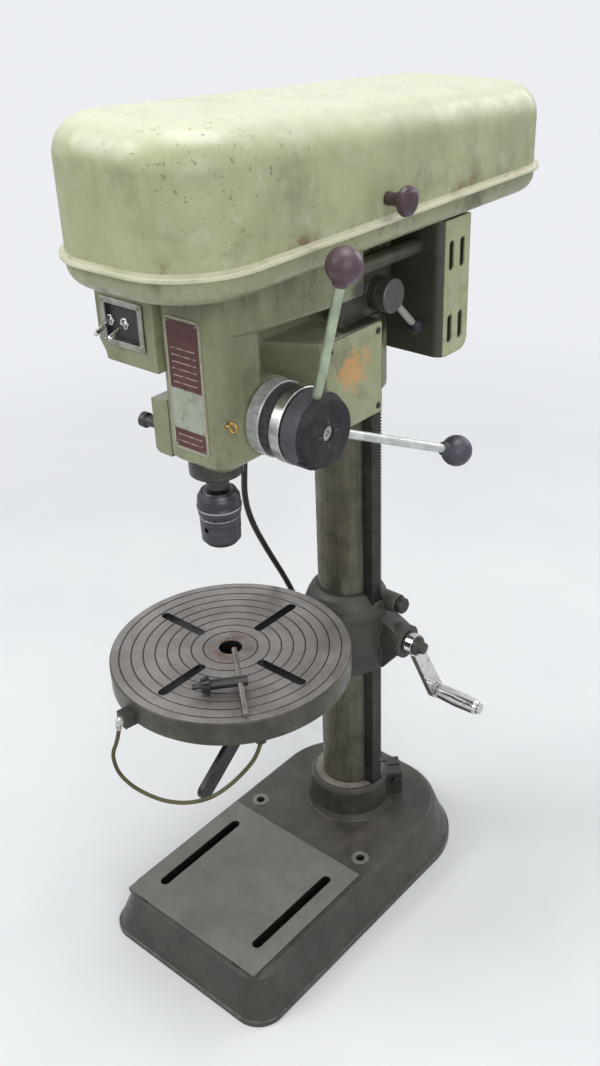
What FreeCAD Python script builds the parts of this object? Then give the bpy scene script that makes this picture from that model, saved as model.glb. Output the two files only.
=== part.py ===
"""Bench pillar drill: belt driven head on a round column, rack lifted round table, cast base.

Frame: origin on the column axis at the bench face of the base, +Z up, +Y towards the motor,
+X towards the operator's right hand, where the feed handles and the lifting crank are.
All sizes are in millimetres.
"""
import FreeCAD, Part
import math
import os

os.makedirs("parts", exist_ok=True)
V = FreeCAD.Vector
X, Y, Z = V(1, 0, 0), V(0, 1, 0), V(0, 0, 1)

# ---- fits -------------------------------------------------------------------------------
RUN = 0.05            # radial clearance of a running fit
GAP = 0.4             # clearance between curved faces that only pass each other

# ---- column and throat ------------------------------------------------------------------
COLUMN_R = 35.0
COLUMN_WALL = 7.0
COLUMN_FOOT_Z = 12.0
COLUMN_HEAD_Z = 756.0
THROAT = 205.0        # column axis to spindle axis

# ---- base -------------------------------------------------------------------------------
BASE_HALF = 132.0
BASE_FRONT = 331.0
BASE_REAR = 116.0
BASE_TOP = 60.0
BASE_LIP = 7.0
BASE_SLOPE = 17.0     # how far the walls lean in over their height
BASE_EDGE = 5.0       # bevel round the top of the foot
BASE_WALL = 11.0
PAD_RISE = 5.0
PAD_HALF = 106.0
PAD_FRONT = 311.0
PAD_REAR = 114.0
PAD_SLOT_X = 78.0
PAD_SLOT_LEN = 139.0
PAD_SLOT_W = 12.0
PAD_SLOT_Y = 211.0
FOOT_BOLT_X = 86.0
FOOT_BOLT_Y = 88.0
FOOT_BOLT_R = 5.5
SOCKET_R = 49.5
SOCKET_TOP = 108.0
SOCKET_CLAMP_ANGLE = 48.0

# ---- lifting rack and pinion ------------------------------------------------------------
LIFT_MODULE = 1.25
LIFT_TEETH = 18
RACK_FRONT = 10.0     # how far the bar reaches in front of the column axis
RACK_TIP = 8.75       # tips of the teeth behind the column axis
RACK_THICK = 12.0
RACK_LOW = 84.0
RACK_HIGH = 700.0

# ---- table bracket and crank ------------------------------------------------------------
BRACKET_LOW = 292.0
BRACKET_HIGH = 402.0
BRACKET_R = 50.0
CRANK_Z = 335.0
LIFT_HOUSING_R = 21.0
LIFT_HOUSING_END = 80.0
LIFT_SHAFT_R = 8.0
CRANK_ARM_LEN = 110.0
CRANK_ANGLE = -63.0
GRIP_R = 9.5
GRIP_LEN = 60.0
LOCK_Y = 18.0
LOCK_Z = 385.0
ARM_HALF = 22.0
STEM_BOSS_R = 32.0
CLAMP_SCREW_Y = 250.0
CLAMP_SCREW_Z = 346.0
CLAMP_LEVER_LEN = 66.0
CLAMP_LEVER_W = 20.0
CLAMP_LEVER_FALL = 38.0

# ---- table ------------------------------------------------------------------------------
TABLE_R = 133.0
TABLE_TOP = 418.0
TABLE_RIM = 30.0
TABLE_PLATE = 13.0
TABLE_RIM_WALL = 12.0
STEM_R = 19.0
TABLE_HOLE_R = 13.0
STEM_LEN = 96.0
TABLE_SLOT_IN = 47.0
TABLE_SLOT_OUT = 102.0
TABLE_SLOT_W = 11.0
GROOVES = 8
GROOVE_FIRST_R = 30.0
GROOVE_PITCH = 13.2
GROOVE_W = 1.6
GROOVE_DEPTH = 0.7
LUG_ANGLE = -100.0

# ---- head casting -----------------------------------------------------------------------
HEAD_TOP = 842.0
HEAD_MID = 752.0      # top of the gearbox
RIGHT_LOW = 787.0     # underside of the upper body on the right
HEAD_LOW = 664.0      # underside of the column sleeve and web
NOSE_LOW = 655.0      # underside of the spindle housing
NOSE_FRONT = 240.0
NOSE_LEFT = 31.0
NOSE_RIGHT = 46.0
NOSE_REAR = 182.0
NOSE_ROUND = 17.0
NOSE_LEFT_ROUND = 13.0
SWITCH_LEFT = 107.0
SWITCH_FRONT = 246.0
SWITCH_LOW = 746.0    # underside of the upper body at the switch
UPPER_RIGHT = 70.0
UPPER_REAR = 52.0
FLARE = ((57.5, -184.0), (68.0, -102.0))  # bends of the upper body's right wall in plan
SIGN_LOW = 671.0
SIGN_HIGH = 806.0
BEZEL_LEFT = 98.0
BEZEL_RIGHT = 40.0
BEZEL_LOW = 764.0
BEZEL_HIGH = 811.0
BEZEL_BORDER = 5.5
TOGGLE_X = (-89.0, -68.0)
QUILL_LOCK_LEFT = 51.0
QUILL_LOCK_IN = 11.0  # lock screw behind the front face
QUILL_LOCK_Z = 681.0
SLEEVE_R = 48.0
GEARBOX_RIGHT = 60.0
GEARBOX_FRONT = 108.0
GEARBOX_REAR = 10.0
GEARBOX_LOW = 646.0
WEB_LEFT = 44.0
WEB_RIGHT = 5.0

# ---- quill, spindle and chuck -----------------------------------------------------------
QUILL_R = 23.0
QUILL_LOW = 636.0
QUILL_HIGH = 790.0
QUILL_STROKE = 65.0
FEED_MODULE = 1.5
FEED_TEETH = 20
QUILL_FLAT = 22.0     # tips of the quill's rack behind the spindle axis
FEED_Z = 695.0
SPINDLE_R = 8.0
SPINDLE_BIG_R = 10.0
SPINDLE_TOP = 944.0
COLLAR_W = 4.8
CHUCK_DROP = 20.0     # top of the chuck below the end of the quill
CHUCK_SLEEVE_LEN = 29.0
CHUCK_LEN = 61.0
CHUCK_R = 22.0
JAW_R = 3.5
JAW_TILT = 15.0

# ---- feed hub and handles ---------------------------------------------------------------
DIAL_R = 38.5
DIAL_IN = 46.5
DIAL_W = 16.0
BAND_W = 14.0
LOCK_RING_W = 12.0
HUB_R = 38.5
HUB_OUT = 119.0
RETURN_CAP_R = 26.0
SPOKE_X = 96.0
SPOKE_TILT = 19.5
SPOKE_LEN = 184.7
SPOKE_R = 4.75
BALL_R = 16.5
SPOKE_ANGLES = (97.0, -23.0)
SPOKE_FREE_HOLE = 217.0
FEED_SHAFT_R = 9.0

# ---- belt drive -------------------------------------------------------------------------
MOTOR_Y = 128.0
PULLEY_LOW = 852.0
PULLEY_STEP = 20.0
SPINDLE_STEPS = (66.0, 54.0, 42.0, 30.0)
BELT_STEP = 1
BELT_W = 10.0
BELT_T = 7.0
SLEEVE_DRIVE_R = 12.0
BEARING_R = 21.0
BEARING_H = 14.0

# ---- belt tray and cover ----------------------------------------------------------------
COVER_HALF = 104.0
COVER_FRONT = 319.0
COVER_REAR = 256.0
COVER_FRONT_ROUND = 79.0
COVER_REAR_ROUND = 62.0
RIM_Z = 866.0
RIM_LIP = 3.0
RIM_T = 3.0
COVER_RISE = 122.0    # crest of the cover above the tray's rim
COVER_FALL = 36.0     # how much lower the rear of its top lies
COVER_EDGE_ROUND = 34.0
COVER_WALL = 2.0
TRAY_WALL = 4.0
TRAY_INSET = 1.5
TRAY_ROUND = 18.0
HINGE_R = 5.0
KNOB_Y = -56.0
KNOB_Z = 889.0

# ---- motor and its slide ----------------------------------------------------------------
MOTOR_R = 60.0
MOTOR_LOW = 698.0
MOTOR_HIGH = 830.0
MOTOR_SHAFT_R = 8.0
WEB_Y = 57.0
PLATE_T = 7.0
PLATE_HALF = 90.0
PLATE_DEEP = 50.0
PLATE_LOW = 692.0
PLATE_HIGH = 840.0
PLATE_SLOT_W = 9.0
PLATE_SLOT_LEN = 32.0
ROD_X = 57.0
ROD_Z = 812.0
ROD_R = 8.5
ROD_FRONT = 95.0
SLIDE_TRAVEL = 8.0
TENSION_Y = 0.0
TENSION_Z = 774.0
TENSION_R = 18.0
TENSION_SHAFT_R = 11.0
TENSION_FACE = 57.0
TENSION_LEVER_LEN = 64.0
TENSION_BALL_R = 8.5
TENSION_ANGLE = -46.0

# ---- chuck key, lying on the table ------------------------------------------------------
KEY_AT = (60.0, -253.0)
KEY_ANGLE = -130.0
KEY_LEN = 44.0
KEY_GEAR_R = 10.0
KEY_BAR_R = 3.0
KEY_BAR_LEN = 98.0

# ---- lead and tether --------------------------------------------------------------------
LEAD_R = 3.5
TETHER_R = 2.2
LEAD_ROUTE = [(-37, -124, 634), (-39, -125, 600), (-46, -122, 556), (-54, -104, 512), (-60, -72, 455),
              (-66, -34, 392), (-74, 0, 324), (-88, 30, 254), (-110, 54, 186), (-140, 74, 122),
              (-174, 92, 68), (-206, 110, 30), (-238, 124, 10), (-268, 130, 4)]
COIL_TURN_R = (35.0, 42.0)
COIL_LAYERS = 2
# The tether's corners: angle round the table's axis, reach beyond its rim, drop below its face.
TETHER_TURNS = [(-100, 15, 35), (-101.5, 17, 52), (-105.2, 19.3, 71), (-108.2, 17.5, 90), (-106.5, 15.1, 107),
                (-98.9, 9.7, 115), (-88.4, 6.1, 115), (-78, 7, 110), (-67.6, 8.7, 102), (-58, 8.5, 92),
                (-50, 5.4, 79), (-42.1, -0.2, 64), (-35.2, -4.5, 48), (-33.2, -6.5, 33)]


# ---- helpers ----------------------------------------------------------------------------
def save(name, shape):
    """Clean a node's shape, check it and write its STEP file."""
    shape = shape.removeSplitter()
    if not shape.isValid() or shape.Volume <= 0:
        raise RuntimeError("bad solid in " + name)
    shape.exportStep("parts/" + name + ".step")
    print(name, len(shape.Solids), "solid", round(shape.Volume / 1000.0, 2), "cm3")


def box(x0, x1, y0, y1, z0, z1):
    return Part.makeBox(x1 - x0, y1 - y0, z1 - z0, V(x0, y0, z0))


def rod(radius, start, end):
    """Round bar between two points."""
    start, end = V(*start), V(*end)
    return Part.makeCylinder(radius, start.distanceToPoint(end), start, end - start)


def cone(r0, r1, start, end):
    start, end = V(*start), V(*end)
    return Part.makeCone(r0, r1, start.distanceToPoint(end), start, end - start)


def fuse(shapes):
    return shapes[0].multiFuse(shapes[1:])


def cut(shape, tools):
    return shape.cut(tools)


def rounded_wire(x0, x1, y0, y1, front, rear, z):
    """Closed plan outline with round corners: radius front at low y, rear at high y."""
    k = math.sqrt(0.5)
    corners = [(x1 - front, y0 + front, front, -1), (x1 - rear, y1 - rear, rear, 0),
               (x0 + rear, y1 - rear, rear, 1), (x0 + front, y0 + front, front, 2)]
    points = []
    for cx, cy, r, quarter in corners:
        a = quarter * math.pi / 2
        for turn in (0.0, math.pi / 4, math.pi / 2):
            points.append(V(cx + r * math.cos(a + turn), cy + r * math.sin(a + turn), z))
    edges = []
    for i in range(4):
        p, m, q = points[3 * i:3 * i + 3]
        edges.append(Part.Arc(p, m, q).toShape())
        nxt = points[(3 * i + 3) % 12]
        if q.distanceToPoint(nxt) > 1e-6:
            edges.append(Part.LineSegment(q, nxt).toShape())
    return Part.Wire(edges)


def prism(wire, height):
    return Part.Face(wire).extrude(V(0, 0, height))


def polygon(points):
    return Part.makePolygon(points + [points[0]])


def turned(profile, centre=V(0, 0, 0)):
    """Revolve a closed (radius, z) profile about the vertical line through centre."""
    face = Part.Face(polygon([centre + V(r, 0, z) for r, z in profile]))
    return face.revolve(centre, Z, 360)


def turned_x(profile, y, z):
    """Revolve a closed (radius, x) profile about the line along X through y, z."""
    face = Part.Face(polygon([V(x, y + r, z) for r, x in profile]))
    return face.revolve(V(0, y, z), X, 360)


def slot_along(axis_angle, r_in, r_out, width, z0, z1, centre):
    """Straight slot with round ends along a radius."""
    r = width / 2
    body = box(r_in, r_out, -r, r, z0, z1)
    for end in (r_in, r_out):
        body = body.fuse(Part.makeCylinder(r, z1 - z0, V(end, 0, z0)))
    body.rotate(V(0, 0, 0), Z, axis_angle)
    body.translate(centre)
    return body


def gear_outline(module, teeth, phase, backlash):
    """Involute outline in the plane of (u, v); phase turns the first gap from +u, in degrees."""
    pitch = module * teeth / 2
    base = pitch * math.cos(math.radians(20))
    tip, root = pitch + module * 0.95, pitch - module * 1.25
    def involute(r):
        t = math.sqrt(max((r / base) ** 2 - 1, 0))
        return t - math.atan(t)
    half = math.pi / (2 * teeth) - backlash / (2 * pitch) + involute(pitch)
    start = max(base, root)
    radii = [start + (tip - start) * i / 3 for i in range(4)]
    points = []
    for n in range(teeth):
        middle = 2 * math.pi * (n + 0.5) / teeth + math.radians(phase)
        low = [(root, middle - half)] if root < start else []
        rise = [(r, middle - half + involute(r)) for r in radii]
        fall = [(r, middle + half - involute(r)) for r in reversed(radii)]
        high = [(root, middle + half)] if root < start else []
        points += [(r * math.cos(a), r * math.sin(a)) for r, a in low + rise + fall + high]
    return points


def pinion_x(module, teeth, phase, backlash, x0, x1, y, z):
    """Spur pinion whose axis lies along X."""
    outline = [V(x0, y + u, z + v) for u, v in gear_outline(module, teeth, phase, backlash)]
    return Part.Face(polygon(outline)).extrude(V(x1 - x0, 0, 0))


def rack_gap(module, x0, x1, tip_y, direction, z):
    """Tooth gap of a rack cut into a face at tip_y; direction is the side the teeth point to."""
    depth = 2.25 * module
    half_pitch = math.pi * module / 2
    t = math.tan(math.radians(20))
    wide, narrow = half_pitch / 2 + module * t, half_pitch / 2 - 1.25 * module * t
    over = 1.0
    points = [V(x0, tip_y + direction * over, z - wide - over * t),
              V(x0, tip_y + direction * over, z + wide + over * t),
              V(x0, tip_y - direction * depth, z + narrow), V(x0, tip_y - direction * depth, z - narrow)]
    return Part.Face(polygon(points)).extrude(V(x1 - x0, 0, 0))


def corner_path(points):
    """Straight runs joined by tangent arcs as large as the two runs allow."""
    pts = [V(*p) for p in points]
    edges, last, radii = [], pts[0], []
    for a, b, c in zip(pts, pts[1:], pts[2:]):
        u, w = (a - b).normalize(), (c - b).normalize()
        half_turn = (math.pi - u.getAngle(w)) / 2
        reach = 0.45 * min(a.distanceToPoint(b), b.distanceToPoint(c))
        radius = reach / math.tan(half_turn)
        start, end = b + u * reach, b + w * reach
        bisector = (u + w).normalize()
        centre = b + bisector * (radius / math.cos(half_turn))
        middle = centre - bisector * radius
        edges += [Part.LineSegment(last, start).toShape(), Part.Arc(start, middle, end).toShape()]
        last = end
        radii.append(radius)
    edges.append(Part.LineSegment(last, pts[-1]).toShape())
    return Part.Wire(edges), radii


def cord(name, points, radius):
    """Round cord along a route, with its radii and volume printed."""
    path, radii = corner_path(points)
    start = V(*points[0])
    section = Part.Wire([Part.makeCircle(radius, start, V(*points[1]) - start)])
    tube = path.makePipeShell([section], True, False)
    expected = math.pi * radius ** 2 * path.Length
    print(name, "length", round(path.Length, 1), "least radius", round(min(radii), 1),
          "volume ratio", round(tube.Volume / expected, 4))
    return tube


# ---- derived places ---------------------------------------------------------------------
SPINDLE_Y = -THROAT
LIFT_R = LIFT_MODULE * LIFT_TEETH / 2
CRANK_Y = RACK_TIP - LIFT_MODULE + LIFT_R
FEED_R = FEED_MODULE * FEED_TEETH / 2
FEED_Y = SPINDLE_Y + QUILL_FLAT - FEED_MODULE + FEED_R
PAD_TOP = BASE_TOP + PAD_RISE
RACK_X0 = COLUMN_R
RACK_X1 = COLUMN_R + RACK_THICK
CHUCK_TOP = QUILL_LOW - CHUCK_DROP
CHUCK_SPLIT = CHUCK_TOP - CHUCK_SLEEVE_LEN
CHUCK_NOSE = CHUCK_TOP - CHUCK_LEN
PULLEY_HIGH = PULLEY_LOW + PULLEY_STEP * len(SPINDLE_STEPS)
COVER_TOP_FRONT = RIM_Z + COVER_RISE
COVER_TOP_REAR = COVER_TOP_FRONT - COVER_FALL
QUILL_LOCK_Y = -NOSE_FRONT + QUILL_LOCK_IN
MOTOR_STEPS = tuple(reversed(SPINDLE_STEPS))


# ---- base -------------------------------------------------------------------------------
def base_outline(inset, z):
    return rounded_wire(-BASE_HALF + inset, BASE_HALF - inset, -BASE_FRONT + inset, BASE_REAR - inset,
                        34.0 - inset * 0.35, 98.0 - inset * 0.6, z)


def make_base():
    """Hollow cast foot with a machined pad, slots, bolt bosses and the column socket."""
    foot = prism(base_outline(0, 0), BASE_LIP)
    shoulder = BASE_TOP - BASE_EDGE
    walls = Part.makeLoft([base_outline(1.5, BASE_LIP), base_outline(BASE_SLOPE, shoulder)], True, True)
    edge = Part.makeLoft([base_outline(BASE_SLOPE, shoulder), base_outline(BASE_SLOPE + BASE_EDGE, BASE_TOP)],
                         True, True)
    body = fuse([foot, walls, edge])
    pad = box(-PAD_HALF, PAD_HALF, -PAD_FRONT, -PAD_REAR, BASE_TOP - 1, PAD_TOP)
    roof = BASE_TOP - BASE_WALL
    hollow = Part.makeLoft([base_outline(BASE_WALL, -1), base_outline(BASE_SLOPE + BASE_WALL, roof)], True, True)
    body = fuse([cut(body, hollow), pad])
    ribs = [box(-BASE_HALF + BASE_SLOPE, BASE_HALF - BASE_SLOPE, y - 4, y + 4, 6, roof + 1)
            for y in (-PAD_SLOT_Y - 88, -PAD_REAR - 4, 0.0)]
    spine = box(-4, 4, -PAD_FRONT, BASE_REAR - BASE_SLOPE - 4, 6, roof + 1)
    holes = [V(side * FOOT_BOLT_X, -FOOT_BOLT_Y, 0) for side in (-1, 1)]
    bosses = [Part.makeCylinder(15.0, BASE_TOP - 2, hole) for hole in holes]
    pads = [Part.makeCylinder(11.0, 0.8, hole + V(0, 0, BASE_TOP)) for hole in holes]
    socket = turned([(0, 4), (SOCKET_R + 4, 4), (SOCKET_R + 9, BASE_TOP - 2), (SOCKET_R + 4, BASE_TOP + 8),
                     (SOCKET_R + 2.5, SOCKET_TOP - 6), (SOCKET_R, SOCKET_TOP), (0, SOCKET_TOP)])
    lug = box(SOCKET_R - 12, SOCKET_R + 20, -16, 16, BASE_TOP - 1, SOCKET_TOP - 8)
    lug.rotate(V(0, 0, 0), Z, SOCKET_CLAMP_ANGLE)
    body = fuse([body, spine, socket, lug] + ribs + bosses + pads)
    split = box(COLUMN_R - 3, SOCKET_R + 24, -1.75, 1.75, BASE_TOP + 6, SOCKET_TOP + 1)
    split.rotate(V(0, 0, 0), Z, SOCKET_CLAMP_ANGLE)
    tools = [split, Part.makeCylinder(COLUMN_R, SOCKET_TOP, V(0, 0, COLUMN_FOOT_Z)),
             Part.makeCylinder(COLUMN_R - 12, COLUMN_FOOT_Z + 2, V(0, 0, 0)),
             box(RACK_X0 - 2, RACK_X1 + GAP, -RACK_FRONT - GAP, RACK_TIP + GAP, RACK_LOW, SOCKET_TOP + 1),
             base_clamp_screw(RUN)]
    reach = (PAD_SLOT_LEN - PAD_SLOT_W) / 2
    for side in (-1, 1):
        tools.append(slot_along(90, -reach, reach, PAD_SLOT_W, roof - 4, PAD_TOP + 1,
                                V(side * PAD_SLOT_X, -PAD_SLOT_Y, 0)))
    tools += [Part.makeCylinder(FOOT_BOLT_R, BASE_TOP + 6, hole - Z) for hole in holes]
    return cut(body, tools)


def base_clamp_screw(clearance=0.0):
    """Hexagon screw across the socket's split lug, with its nut."""
    x, z = SOCKET_R + 11, SOCKET_TOP - 21
    shank = rod(4.0 + clearance, (x, -26, z), (x, 24, z))
    if clearance:
        shank = shank.fuse(rod(8.5, (x, -40, z), (x, -16, z))).fuse(rod(8.5, (x, 16, z), (x, 40, z)))
        shape = shank
    else:
        turns = [math.radians(a) for a in range(0, 360, 60)]
        hexagon = [V(x + 7 * math.cos(a), -21.6, z + 7 * math.sin(a)) for a in turns]
        head = Part.Face(polygon(hexagon)).extrude(V(0, 5.6, 0))
        nut = Part.Face(polygon(hexagon)).extrude(V(0, 5.6, 0))
        nut.translate(V(0, 37.6, 0))
        shape = fuse([rod(4.0, (x, -18, z), (x, 23, z)), head, nut])
    shape.rotate(V(0, 0, 0), Z, SOCKET_CLAMP_ANGLE)
    return shape


def make_column():
    outer = Part.makeCylinder(COLUMN_R, COLUMN_HEAD_Z - COLUMN_FOOT_Z, V(0, 0, COLUMN_FOOT_Z))
    inner = Part.makeCylinder(COLUMN_R - COLUMN_WALL, HEAD_MID, V(0, 0, COLUMN_FOOT_Z - 1))
    return outer.cut(inner)


def make_rack():
    """Flat bar against the column, its teeth cut in the rear edge."""
    bar = box(RACK_X0, RACK_X1, -RACK_FRONT, RACK_TIP, RACK_LOW, RACK_HIGH)
    pitch = math.pi * LIFT_MODULE
    first = math.ceil((SOCKET_TOP + 2 - CRANK_Z) / pitch)
    last = math.floor((GEARBOX_LOW - 4 - CRANK_Z) / pitch)
    gaps = [rack_gap(LIFT_MODULE, RACK_X0 - 1, RACK_X1 + 1, RACK_TIP, 1, CRANK_Z + (n + 0.5) * pitch)
            for n in range(first, last)]
    return bar.cut(gaps)


# ---- table bracket ----------------------------------------------------------------------
def make_bracket():
    """Collar on the column, arm to the split table boss, pinion housing and lock boss."""
    collar = turned([(0, BRACKET_LOW), (BRACKET_R - 3, BRACKET_LOW), (BRACKET_R, BRACKET_LOW + 3),
                     (BRACKET_R, BRACKET_HIGH - 34), (BRACKET_R + 2.5, BRACKET_HIGH - 30),
                     (BRACKET_R + 2.5, BRACKET_HIGH - 24), (BRACKET_R - 1, BRACKET_HIGH - 14),
                     (BRACKET_R - 6, BRACKET_HIGH - 5), (BRACKET_R - 11, BRACKET_HIGH), (0, BRACKET_HIGH)])
    root = [V(x, -36, z) for x, z in ((-38, 306), (38, 306), (34, 382), (-34, 382))]
    tip = [V(x, SPINDLE_Y + 20, z) for x, z in ((-ARM_HALF, 330), (ARM_HALF, 330), (ARM_HALF, 372), (-ARM_HALF, 372))]
    arm = Part.makeLoft([Part.Wire(polygon(root)), Part.Wire(polygon(tip))], True, True)
    pocket = box(-ARM_HALF + 8, ARM_HALF - 8, SPINDLE_Y + STEM_BOSS_R + 6, -BRACKET_R - 8, 300, 356)
    boss = Part.makeCylinder(STEM_BOSS_R, 64, V(0, SPINDLE_Y, 321))
    lugs = box(-19, 19, -CLAMP_SCREW_Y - 12, SPINDLE_Y - 14, CLAMP_SCREW_Z - 13, CLAMP_SCREW_Z + 15)
    housing = rod(LIFT_HOUSING_R, (20, CRANK_Y, CRANK_Z), (LIFT_HOUSING_END, CRANK_Y, CRANK_Z))
    outline = ((30, BRACKET_LOW), (52, BRACKET_LOW), (76, CRANK_Z - 12), (76, CRANK_Z + 14), (30, BRACKET_HIGH - 30))
    skirt = Part.Face(polygon([V(x, CRANK_Y - 14, z) for x, z in outline])).extrude(V(0, 28, 0))
    lock_boss = rod(12.0, (20, LOCK_Y, LOCK_Z), (66, LOCK_Y, LOCK_Z))
    body = fuse([collar, arm.cut(pocket), boss, lugs, housing, skirt, lock_boss])
    stem = Part.makeCylinder(STEM_R + RUN, 200, V(0, SPINDLE_Y, 250))
    tools = [Part.makeCylinder(COLUMN_R + RUN, 200, V(0, 0, BRACKET_LOW - 20)), stem,
             box(RACK_X0 - 4, RACK_X1 + GAP, -RACK_FRONT - GAP, RACK_TIP + GAP, BRACKET_LOW - 5, BRACKET_HIGH + 5),
             rod(LIFT_R + LIFT_MODULE + 0.8, (RACK_X0 - 6, CRANK_Y, CRANK_Z), (RACK_X1 + 1, CRANK_Y, CRANK_Z)),
             rod(LIFT_SHAFT_R + RUN, (RACK_X0, CRANK_Y, CRANK_Z), (LIFT_HOUSING_END + 5, CRANK_Y, CRANK_Z)),
             box(-1.5, 1.5, -CLAMP_SCREW_Y - 20, SPINDLE_Y - STEM_R + 3, 300, 400),
             rod(5.0 + RUN, (-40, -CLAMP_SCREW_Y, CLAMP_SCREW_Z), (40, -CLAMP_SCREW_Y, CLAMP_SCREW_Z)),
             rod(5.0 + RUN, (20, LOCK_Y, LOCK_Z), (80, LOCK_Y, LOCK_Z))]
    return body.cut(tools)


def make_lift_pinion():
    """Pinion and crank shaft in one piece; a tooth gap faces the rack's tooth at rest."""
    teeth = pinion_x(LIFT_MODULE, LIFT_TEETH, 180.0, 0.25, RACK_X0 + 0.5, RACK_X1 - 0.5, CRANK_Y, CRANK_Z)
    shaft = rod(LIFT_SHAFT_R, (RACK_X1 - 1, CRANK_Y, CRANK_Z), (LIFT_HOUSING_END + 13, CRANK_Y, CRANK_Z))
    return teeth.fuse(shaft)


def crank_point(along, x):
    a = math.radians(CRANK_ANGLE)
    return (x, CRANK_Y + along * math.cos(a), CRANK_Z + along * math.sin(a))


def make_crank_arm():
    """Cranked flat arm with a round boss at each end."""
    x0, x1 = LIFT_HOUSING_END + 1.5, LIFT_HOUSING_END + 13
    hub = rod(14.0, crank_point(0, x0), crank_point(0, x1))
    eye = rod(11.0, crank_point(CRANK_ARM_LEN, x0 + 3.5), crank_point(CRANK_ARM_LEN, x1))
    a = math.radians(CRANK_ANGLE)
    across = V(0, -math.sin(a), math.cos(a))
    low, high = V(*crank_point(0, x0 + 3)), V(*crank_point(CRANK_ARM_LEN, x0 + 3))
    blade = Part.Face(polygon([low + across * 9, high + across * 11, high - across * 11, low - across * 9]))
    blade = blade.extrude(V(8, 0, 0))
    pin = rod(5.0, crank_point(CRANK_ARM_LEN, x1 - 1), crank_point(CRANK_ARM_LEN, x1 + GRIP_LEN + 3))
    end = x1 + GRIP_LEN
    pin_head = rod(7.0, crank_point(CRANK_ARM_LEN, end + 1), crank_point(CRANK_ARM_LEN, end + 4))
    bore = rod(LIFT_SHAFT_R, (0, CRANK_Y, CRANK_Z), (200, CRANK_Y, CRANK_Z))
    return fuse([hub, eye, blade, pin, pin_head]).cut(bore)


def make_crank_nut():
    x = LIFT_HOUSING_END + 13
    return turned_x([(0, x), (12, x), (12, x + 3), (8, x + 6), (7, x + 12), (0, x + 13)], CRANK_Y, CRANK_Z)


def make_crank_grip():
    x = LIFT_HOUSING_END + 13.4
    _, y, z = crank_point(CRANK_ARM_LEN, 0)
    n = x + GRIP_LEN
    return turned_x([(5 + RUN, x), (GRIP_R - 2, x), (GRIP_R, x + 4), (GRIP_R + 1, x + GRIP_LEN / 2),
                     (GRIP_R, n - 4), (GRIP_R - 2, n), (5 + RUN, n)], y, z)


def make_bracket_lock():
    x = 66.6
    screw = rod(5.0, (COLUMN_R + 1, LOCK_Y, LOCK_Z), (x + 1, LOCK_Y, LOCK_Z))
    head = turned_x([(0, x), (9, x), (10, x + 1.5), (10, x + 7), (8, x + 9), (0, x + 9)], LOCK_Y, LOCK_Z)
    return screw.fuse(head)


def make_table_clamp():
    """Clamp screw with its collar and the flat hand lever."""
    y, z = -CLAMP_SCREW_Y, CLAMP_SCREW_Z
    screw = rod(5.0, (-27, y, z), (50, y, z))
    tail = rod(9.0, (-27, y, z), (-19.5, y, z))
    collar = rod(9.0, (19.5, y, z), (43, y, z))
    r = CLAMP_LEVER_W / 2
    bar = box(43, 49, -CLAMP_LEVER_LEN, 0, -r, r)
    bar = fuse([bar] + [rod(r, (43, -reach, 0), (49, -reach, 0)) for reach in (0, CLAMP_LEVER_LEN)])
    bar.rotate(V(0, 0, 0), X, CLAMP_LEVER_FALL)
    bar.translate(V(0, y, z))
    return fuse([screw, tail, collar, bar])


# ---- table ------------------------------------------------------------------------------
def table_point(angle, radius, z):
    a = math.radians(angle)
    return V(radius * math.cos(a), SPINDLE_Y + radius * math.sin(a), z)


def make_table():
    """Ribbed round table with ring grooves, four slots and a hollow stem."""
    axis = V(0, SPINDLE_Y, 0)
    low, under = TABLE_TOP - TABLE_RIM, TABLE_TOP - TABLE_PLATE
    inner = TABLE_R - TABLE_RIM_WALL
    disc = turned([(0, TABLE_TOP), (TABLE_R - 1.5, TABLE_TOP), (TABLE_R, TABLE_TOP - 1.5), (TABLE_R, low + 3),
                   (TABLE_R - 3, low), (inner, low), (inner - 3, under), (0, under)], axis)
    hub = turned([(0, under + 1), (34, under + 1), (30, low), (0, low)], axis)
    ribs = []
    for n in range(4):
        rib = box(20, inner, -3.5, 3.5, low + 5, under + 1)
        rib.rotate(V(0, 0, 0), Z, 45 + 90 * n)
        rib.translate(axis)
        ribs.append(rib)
    stem = Part.makeCylinder(STEM_R, STEM_LEN, V(0, SPINDLE_Y, under + 1 - STEM_LEN))
    lug = box(TABLE_R - 4, TABLE_R + 11, -8, 8, low - 2, low + 13)
    lug.rotate(V(0, 0, 0), Z, LUG_ANGLE)
    lug.translate(axis)
    eyelet = Part.makeCylinder(6.0, 3.5, V(*tether_route()[-1]) + V(0, 0, 0.9))
    body = fuse([disc, hub, stem, lug, eyelet] + ribs)
    tools = [Part.makeCylinder(TABLE_HOLE_R, 200, V(0, SPINDLE_Y, 280)), lug_rod(2.5, 2, 12)]
    for n in range(4):
        tools.append(slot_along(90 * n, TABLE_SLOT_IN, TABLE_SLOT_OUT, TABLE_SLOT_W, low - 5, TABLE_TOP + 1, axis))
    for n in range(GROOVES):
        r = GROOVE_FIRST_R + n * GROOVE_PITCH - GROOVE_W / 2
        ring = Part.makeCylinder(r + GROOVE_W, 2, V(0, SPINDLE_Y, TABLE_TOP - GROOVE_DEPTH))
        tools.append(ring.cut(Part.makeCylinder(r, 2, V(0, SPINDLE_Y, TABLE_TOP - GROOVE_DEPTH))))
    return body.cut(tools)


def tether_route():
    """Corner points of the tether, hung from the table's rim."""
    return [tuple(table_point(angle, TABLE_R + reach, TABLE_TOP - drop)) for angle, reach, drop in TETHER_TURNS]


def lug_rod(radius, start, end):
    """Round bar along the lug, from and to a reach beyond the table's rim."""
    z = TABLE_TOP - TABLE_RIM + 5
    return rod(radius, table_point(LUG_ANGLE, TABLE_R + start, z), table_point(LUG_ANGLE, TABLE_R + end, z))


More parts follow.
